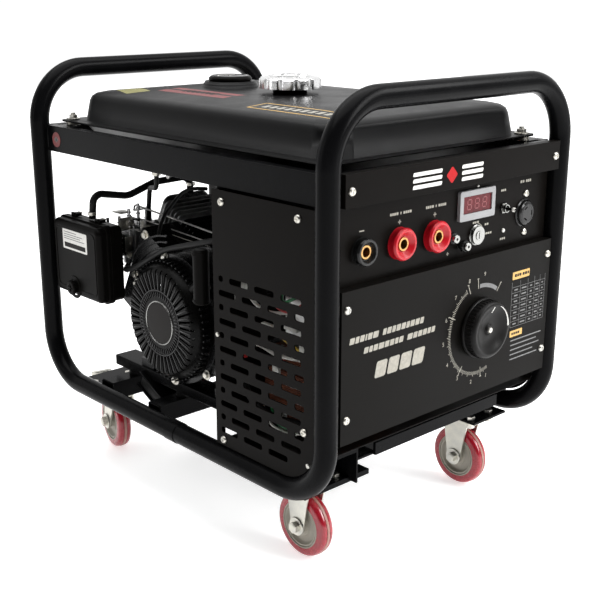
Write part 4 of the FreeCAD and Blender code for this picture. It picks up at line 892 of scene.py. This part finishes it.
def make_meter():
    """Bezel with a sunk window and unlit figures behind it."""
    x, z, w, h = METER
    place = front(SOCKET_Y) @ at(x, z, 0)
    bm = bmesh.new()
    outer, inner = rounded(w, h, 3, 5), rounded(w - 15, h - 18, 1.2, 5, (0, 1))
    add_frame(bm, place, outer, inner, 0, 5.2)
    soften_mesh(bm, 0.7)
    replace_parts(shown("meter_bezel", bm, "meter_grey"), "panel_meter")
    bm = bmesh.new()
    add_prism(bm, place, rounded(w - 14, h - 17, 1.2, 5, (0, 1)), 0.5, 3.4)
    shown("meter_window", bm, WINDOW)
    bars = []
    for digit in range(3):
        u = -17 + 17 * digit
        for dv in (-7.0, 0.0, 7.0):
            bars.append(rounded(7.0, 1.5, 0.6, 2, (u + 0.08 * dv, 1 + dv)))
        for du in (-4.4, 4.4):
            for dv in (-3.5, 3.5):
                bars.append(rounded(1.5, 5.4, 0.6, 2, (u + du + 0.08 * dv, 1 + dv)))
    printed("meter_figures", place @ at(0, 0, 3.4), bars, SEGMENT, 0.06)


def make_panel_fittings():
    """Knurled posts, outlet ring, switch nuts and the toggle's pale tip."""
    face = front(SOCKET_Y)
    bm = bmesh.new()
    for x, z in ((-4, 472), (22, 457)):
        post = face @ at(x, z, 0)
        add_turned(bm, post, [(4.6, 6.0), (4.6, 7.4), (5.4, 8.0), (11.6, 8.0), (12.6, 7.2), (12.6, 6.0)], 36)
        add_block_ring(bm, post, 16, 8.0, 8.5, (0.9, 1.4, 6), 0.3, 1)
    shown("post_sleeves", bm, GLOSSY)
    bm = bmesh.new()
    outlet = face @ at(171, 483, 0)
    add_turned(bm, outlet, [(7.6, 13.4), (8.3, 13.0), (8.3, 11.8), (7.7, 11.4)], 48)
    add_turned(bm, outlet, [(0, 19.0), (0, 21.4), (1.4, 21.4), (2.4, 19.6)], 48)
    shown("outlet_ring", bm, GLOSSY)
    bm = bmesh.new()
    toggle = face @ at(120, 497, 0)
    add_prism(bm, toggle, hex_outline(14.5), 0.0, 2.4)
    add_turned(bm, toggle, [(2.4, 6.9), (3.4, 6.9), (3.4, 6.1)], 32)
    add_turned(bm, face @ at(*KEY, 0), [(0, 15.4), (1.2, 15.4), (2.0, 14.6), (2.0, 13.4)], 48)
    shown("switch_nuts", bm, "switch_chrome")
    turned("toggle_tip", toggle, [(17.4, 2.9), (18.6, 3.3), (20.6, 3.1), (21.8, 2.2), (22.0, 0)],
           WHITE_PLASTIC, "toggle", 24)
    bm = bmesh.new()
    for x, z in SOCKETS:
        add_turned(bm, face @ at(x, z, 0), [(6.6, 8.6), (6.9, 9.0), (7.0, 9.4), (7.0, 9.8)], 40)
    shown("socket_seats", bm, "brass")


def make_lower_panel_print():
    """Word bars at the left of the lower panel and the scale round the dial."""
    face = front(LOWER_Y)
    slant = 0.22
    words = bar_words(-212, 364, 8.6, (9, 6.5, 8, 3, 8, 10, -5, 6.5, 8, 6.5, 8, 8, 6.5, 8, 8, 7), 1.9, slant,
                      0.8)
    words += bar_words(-185, 346, 8.2, (8, 6.5, 8, 10, 8, 8, 6.5, 8, -5, 10, 8, 8, 8, 6.5, 7), 1.9, slant,
                       0.8)
    words += bar_words(-162, 306, 23, (21, 21, 22, 23), 3.4, slant, 3.0)
    printed("lower_panel_bars", face, words, INK_CREAM)
    marks = []
    cx, cz = DIAL
    long_ticks = (53, 96, 113, 156, 234, 276)
    for k in range(84):
        angle = 118 + 2.05 * k
        marks.append(tick(cx, cz, angle, 66.0, 71.0 if k % 5 else 73.5, 0.8))
    for angle in long_ticks:
        marks.append(tick(cx, cz, angle, 62.0, 76.0, 1.2))
        marks.append(rounded(3.6, 1.2, 0.3, 2, polar(cx, cz, angle, 77.0)))
    printed("dial_ticks", face, marks, INK_CREAM)
    printed("dial_band", face, [arc_band(62, 68, 56, 93, DIAL)], INK_GREY)
    for k, angle in enumerate(range(285, 84, -25)):
        number = bpy.data.curves.new(f"dial_number_{k}", "FONT")
        number.body, number.size, number.extrude = str(k + 1), 0.0085, 0.00006
        number.align_x, number.align_y = "CENTER", "CENTER"
        number.materials.append(INK_CREAM)
        obj = linked(f"dial_number_{k}", number)
        u, v = polar(cx, cz, angle, 81.5)
        obj.matrix_world = front(0)
        obj.location = TO_FRAME @ Vector((u, LOWER_Y - 0.1, v))
        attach(obj, "machine")
    make_panel_table(face)


def make_panel_table(face):
    """Ruled table and plain lines at the right of the panel."""
    lines = [rounded(84, 0.5, 0.1, 1, (175, z)) for z in range(312, 384, 9)]
    lines += [rounded(0.5, 72, 0.1, 1, (x, 347.5)) for x in (133, 154, 173, 190, 204, 217)]
    cells = []
    for row in range(7):
        for column, (x, w) in enumerate(((143.5, 15), (163.5, 12), (181.5, 10), (197, 8), (210.5, 7))):
            width = w * (0.55 + 0.45 * math.sin(3.1 * row + 1.7 * column) ** 2)
            cells.append(rounded(width, 2.2, 0.3, 1, (x, 316.5 + 9 * row)))
    for row, width in enumerate((78, 66, 74, 58, 70)):
        cells.append(rounded(width, 1.8, 0.3, 1, (137 + width / 2, 290 - 7.6 * row)))
    printed("panel_table", face, lines + cells, INK_GREY)
    printed("panel_tags", face, [rounded(42, 12, 0.8, 2, (154, 393)), rounded(31, 10, 0.8, 2, (149.5, 301))],
            INK_YELLOW)
    printed("panel_tag_bars", face, bar_words(138, 391, 4.4, (5, 4, 5, -1, 5, 5, 4), 1.1)
            + bar_words(138, 299, 3.8, (4, 4, 4, 5), 1.1), BADGE, 0.16)


def make_brow_print():
    """Plain stripes and a lozenge on the brow panel."""
    face = front(BROW_Y)
    stripes = [rounded(58, 5.2, 1.6, 3, (-74, z), slant=0.25) for z in (556.5, 565, 573.5)]
    stripes += [rounded(46, 5.2, 1.6, 3, (20, z), slant=0.25) for z in (556.5, 565, 573.5)]
    printed("brow_stripes", face, stripes, INK_WHITE)
    printed("brow_lozenge", face, [rounded(17, 17, 2.5, 3, (-24, 565), turn=math.pi / 4)], INK_RED)


# turned profile of the dial knob, from the panel out to its dished face
KNOB_PROFILE = [(1.2, 0), (1.2, 42.5), (2.0, 44.0), (4.2, 45.0), (6.0, 44.6), (6.8, 43.4), (17.0, 43.0),
                (20.5, 42.2), (22.8, 40.6), (23.8, 38.4), (23.9, 36.6), (23.3, 34.6), (21.2, 31.0),
                (18.4, 25.5), (16.4, 18.0), (15.8, 11.0), (16.4, 8.8), (18.0, 7.6), (19.0, 6.6),
                (19.0, 4.0)]


def make_knob():
    """Dished dial knob with a fluted edge, a screw, a pointer and a tapering arc."""
    place = front(LOWER_Y) @ at(*KNOB, 0)
    bm = bmesh.new()
    add_turned(bm, place, KNOB_PROFILE, 96)
    add_block_ring(bm, place, 48, 43.2, 13.2, (1.6, 2.2, 11.5), 0.6)
    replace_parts(shown("knob_body", bm, "knob_black", "dial_knob"), "dial_knob")
    bm = bmesh.new()
    add_turned(bm, place, [(17.6, 4.6), (19.6, 4.6), (21.2, 3.8), (21.8, 0)], 32)
    add_block(bm, place @ at(0, 0, 21.6), (5.4, 1.0, 0.9), 0.2)
    shown("knob_screw", bm, "zinc_bolts", "dial_knob")
    turned("knob_shaft", place, [(-20, 4.0), (1.4, 4.0)], "steel", "dial_knob", 24)
    bm = bmesh.new()
    pointer = place @ turn_by(84) @ at(30.6, 0, 21.2)
    add_block(bm, pointer @ Matrix.Rotation(-0.46, 4, "Y"), (11.0, 1.6, 1.0), 0.3)
    steps = 26
    for k in range(steps):
        wide = 0.8 + 2.6 * k / steps
        arc = place @ turn_by(62 - 62 * k / steps) @ at(37.9 - wide / 4, 0, 23.75)
        add_block(bm, arc, (wide, 2.1, 0.5), 0.1, 1)
    shown("knob_marks", bm, INK_WHITE, "dial_knob")


# ------------------------------------------------------------------ tank, frame and sheet metal
DRAPE_CELLS = (10, 3)


def add_draped(bm, centre, size, turn, lift):
    """Thin print laid on the tank; each corner is dropped on to the tank's own surface."""
    tank = NODES["fuel_tank"]
    c, s = math.cos(turn), math.sin(turn)
    rows = []
    for j in range(DRAPE_CELLS[1] + 1):
        row = []
        for k in range(DRAPE_CELLS[0] + 1):
            u, v = size[0] * (k / DRAPE_CELLS[0] - 0.5), size[1] * (j / DRAPE_CELLS[1] - 0.5)
            top = TO_FRAME @ Vector((centre[0] + u * c - v * s, centre[1] + u * s + v * c, 690))
            hit, spot, normal, _ = tank.ray_cast(top, -Z)
            spot = spot + normal * lift / 1000 if hit else top
            row.append(bm.verts.new(TO_FRAME.inverted() @ spot))
        rows.append(row)
    for lower, upper in zip(rows, rows[1:]):
        for k in range(DRAPE_CELLS[0]):
            bm.faces.new((lower[k], lower[k + 1], upper[k + 1], upper[k]))


def draped(name, patches, material, lift=0.12):
    bm = bmesh.new()
    for centre, size, turn in patches:
        add_draped(bm, centre, size, turn, lift)
    return shown(name, bm, material)


def outline_strips(centre, size, turn, width):
    """Four thin strips round a rectangle."""
    c, s = math.cos(turn), math.sin(turn)
    strips = []
    for u, v, w, h in ((0, 1, size[0], width), (0, -1, size[0], width), (1, 0, width, size[1]),
                       (-1, 0, width, size[1])):
        du, dv = u * (size[0] - width) / 2, v * (size[1] - width) / 2
        strips.append(((centre[0] + du * c - dv * s, centre[1] + du * s + dv * c), (w, h), turn))
    return strips


def make_tank_prints():
    """Stickers on the tank and a round one on the top rail."""
    along_y = -math.pi / 2
    draped("tank_band", [((-99, 92), (170, 46), along_y)], INK_FADED)
    draped("tank_band_bars", [((-99, 128 - 12 * k), (7, 18), along_y) for k in range(7)], BADGE, 0.2)
    draped("tank_outline", outline_strips((-140, -180), (176, 40), along_y - 0.02, 3), INK_YELLOW)
    draped("tank_outline_bars", [((-140, -116 - 16 * k), (10, 15), along_y) for k in range(9)], INK_CREAM,
           0.14)
    draped("tank_patch", [((-140, 222), (62, 40), along_y - 0.3)], INK_OLIVE)
    rail = left(-240.2) @ at(-306, 564, 0)
    turned("rail_dot", rail, [(0, 12.5), (0.4, 12.5), (0.4, 0)], INK_FADED, segments=32)
    printed("rail_dot_bars", rail @ at(0, 0, 0.4), [rounded(12, 4, 0.5, 2), rounded(4, 9, 0.5, 2)], INK_GREY)


def add_bead(bm, path, radius):
    """Weld bead: overlapping flattened drops along a line."""
    for start, end in zip(path, path[1:]):
        start, end = Vector(start), Vector(end)
        run = end - start
        count = max(2, round(run.length / (radius * 0.9)))
        for k in range(count):
            place = along(run, start + run * (k + 0.5) / count) @ Matrix.Diagonal((1, 1, 0.75, 1))
            bmesh.ops.create_icosphere(bm, subdivisions=1, radius=radius, matrix=place)


def make_welds():
    """Weld beads where the cross tubes and the brow meet the frame."""
    bm = bmesh.new()
    for side in (-1, 1):
        x = side * 229.2
        for y in (-241.0, 65.0, 204.0):
            corners = [(x, y - 15, 158), (x, y - 15, 131), (x, y + 15, 131), (x, y + 15, 158),
                       (x, y - 15, 158)]
            add_bead(bm, corners, 2.3)
        for y in (-308, 308):
            add_bead(bm, [(side * 238, y - 9, 545), (side * 238, y + 16, 545)], 2.0)
    shown("weld_beads", bm, "frame_black")


def make_cap_trim():
    """Raised ring and star mark on the fuel cap, and the gauge's lens."""
    bm = bmesh.new()
    top = at(0, -10, 675)
    add_turned(bm, top, [(-0.2, 33.5), (0.8, 33), (1.1, 31.5), (0.8, 30), (-0.2, 29.5)], 72)
    add_block_ring(bm, top, 24, 22, 0.1, (9, 1.4, 1.0), 0.3, 1)
    shown("cap_ribs", bm, "cap_chrome", "fuel_cap")
    gauge = at(0, 140, 666)
    turned("gauge_face", gauge, [(-0.2, 31), (0.8, 30.4), (0.9, 26), (0.2, 25.4), (0.2, 0)], GLOSSY,
           segments=64)
    marks = [arc_band(19, 21.5, 30, 150), tick(0, 0, 118, 4, 18, 1.6), disc(2.2)]
    printed("gauge_marks", gauge @ at(0, 0, 0.2), marks, INK_WHITE)


def make_small_screws():
    """Rivets that hold the side covers."""
    bm = bmesh.new()
    for side in (-1, 1):
        for y, z in ((-319, 190), (-128, 330)):
            place = facing(-Y * -side, Z, (side * 247.0, y, z))
            add_turned(bm, place, [(0, 3.6), (1.0, 3.4), (1.7, 2.2), (1.8, 0)], 20)
    shown("cover_rivets", bm, "zinc_bolts")


# ------------------------------------------------------------------ floor, light and camera
FOCAL_MM, SENSOR_MM = 62.93, 36.0
# the camera's place, and the directions that are right and up in its view
CAMERA_AT = (-1126.0, -1261.7, 805.6)
CAMERA_RIGHT = (0.7372, -0.6757, 0.0008)
CAMERA_UP = (0.1915, 0.2102, 0.9587)


def make_camera():
    data = bpy.data.cameras.new("camera")
    data.lens, data.sensor_width = FOCAL_MM, SENSOR_MM
    data.clip_start, data.clip_end = 0.05, 60
    camera = linked("camera", data)
    camera.matrix_world = facing(CAMERA_RIGHT, CAMERA_UP, TO_FRAME @ Vector(CAMERA_AT))
    bpy.context.scene.camera = camera


def area_light(name, place, target, size, power):
    data = bpy.data.lights.new(name, "AREA")
    data.shape, data.size, data.size_y, data.energy = "RECTANGLE", size[0], size[1], power
    lamp = linked(name, data)
    lamp.location = place
    lamp.rotation_euler = (Vector(target) - Vector(place)).to_track_quat("-Z", "Y").to_euler()


FLOOR_NEAR, FLOOR_FAR = 0.8, 4.0    # metres from the machine over which the floor gets brighter
GLOW_NEAR, GLOW_FAR = 0.62, 0.98    # emission of the floor there


def make_studio():
    """White backdrop, a pale floor, a large soft light above and a narrower one in front."""
    world = bpy.data.worlds.new("studio")
    world.use_nodes = True
    tree = world.node_tree
    heading = node(tree, "TexCoord").outputs["Generated"]
    # the glow comes from behind and above; the camera itself sees plain white all round
    behind = node(tree, "VectorMath", {0: heading, 1: (0.64, 0.74, 0.20)}, operation="DOT_PRODUCT")
    glow = smooth_range(tree, behind.outputs["Value"], (-0.35, 0.5), (0.03, 1.05))
    seen = node(tree, "LightPath").outputs["Is Camera Ray"]
    backdrop = node(tree, "Math", {0: glow, 1: seen}, operation="MAXIMUM")
    tree.links.new(backdrop.outputs["Value"], tree.nodes["Background"].inputs["Strength"])
    tree.nodes["Background"].inputs["Color"].default_value = (1, 1, 1, 1)
    bpy.context.scene.world = world
    bpy.context.scene.view_settings.view_transform = "Standard"
    area_light("top", (-0.1, 0.1, 3.2), (0, 0, 0.2), (3.4, 3.4), 125)
    area_light("front", (1.0, -2.8, 1.7), (0, 0, 0.35), (0.8, 1.4), 60)
    area_light("floor_fill", (1.5, -1.7, 2.0), (1.4, -1.6, 0), (1.4, 1.4), 70)
    area_light("strip", (-2.4, 1.2, 1.2), (0, 0, 0.35), (0.12, 1.6), 4.5)
    bm = bmesh.new()
    bmesh.ops.create_grid(bm, x_segments=8, y_segments=8, size=7000)
    bmesh.ops.transform(bm, matrix=TO_FRAME, verts=bm.verts)
    mesh = bpy.data.meshes.new("floor")
    bm.to_mesh(mesh)
    bm.free()
    pale = finish("pale_floor", (0.86, 0.86, 0.86), 0.6, shade=0.015, cloud=3, grain=120, relief=0.03,
                  Emission_Color=(1, 1, 1, 1))
    tree = pale.node_tree
    spread = node(tree, "VectorMath", {0: node(tree, "TexCoord").outputs["Object"]}, operation="LENGTH")
    glow = smooth_range(tree, spread.outputs["Value"], (FLOOR_NEAR, FLOOR_FAR), (GLOW_NEAR, GLOW_FAR))
    tree.links.new(glow, tree.nodes["Principled BSDF"].inputs["Emission Strength"])
    mesh.materials.append(pale)
    linked("floor", mesh)


def main():
    dress_nodes()
    make_wheels()
    make_caster_trim()
    make_forks()
    make_recoil_trim()
    make_shroud_ribs()
    make_grip_trim()
    make_starter_rope()
    make_air_cleaner_trim()
    make_carburettor_trim()
    make_isolators()
    make_choke_stack()
    make_block_trim()
    make_muffler_trim()
    make_wiring()
    make_socket_panel_print()
    make_meter()
    make_panel_fittings()
    make_lower_panel_print()
    make_brow_print()
    make_knob()
    make_tank_prints()
    make_welds()
    make_cap_trim()
    make_small_screws()
    make_studio()
    make_camera()


main()
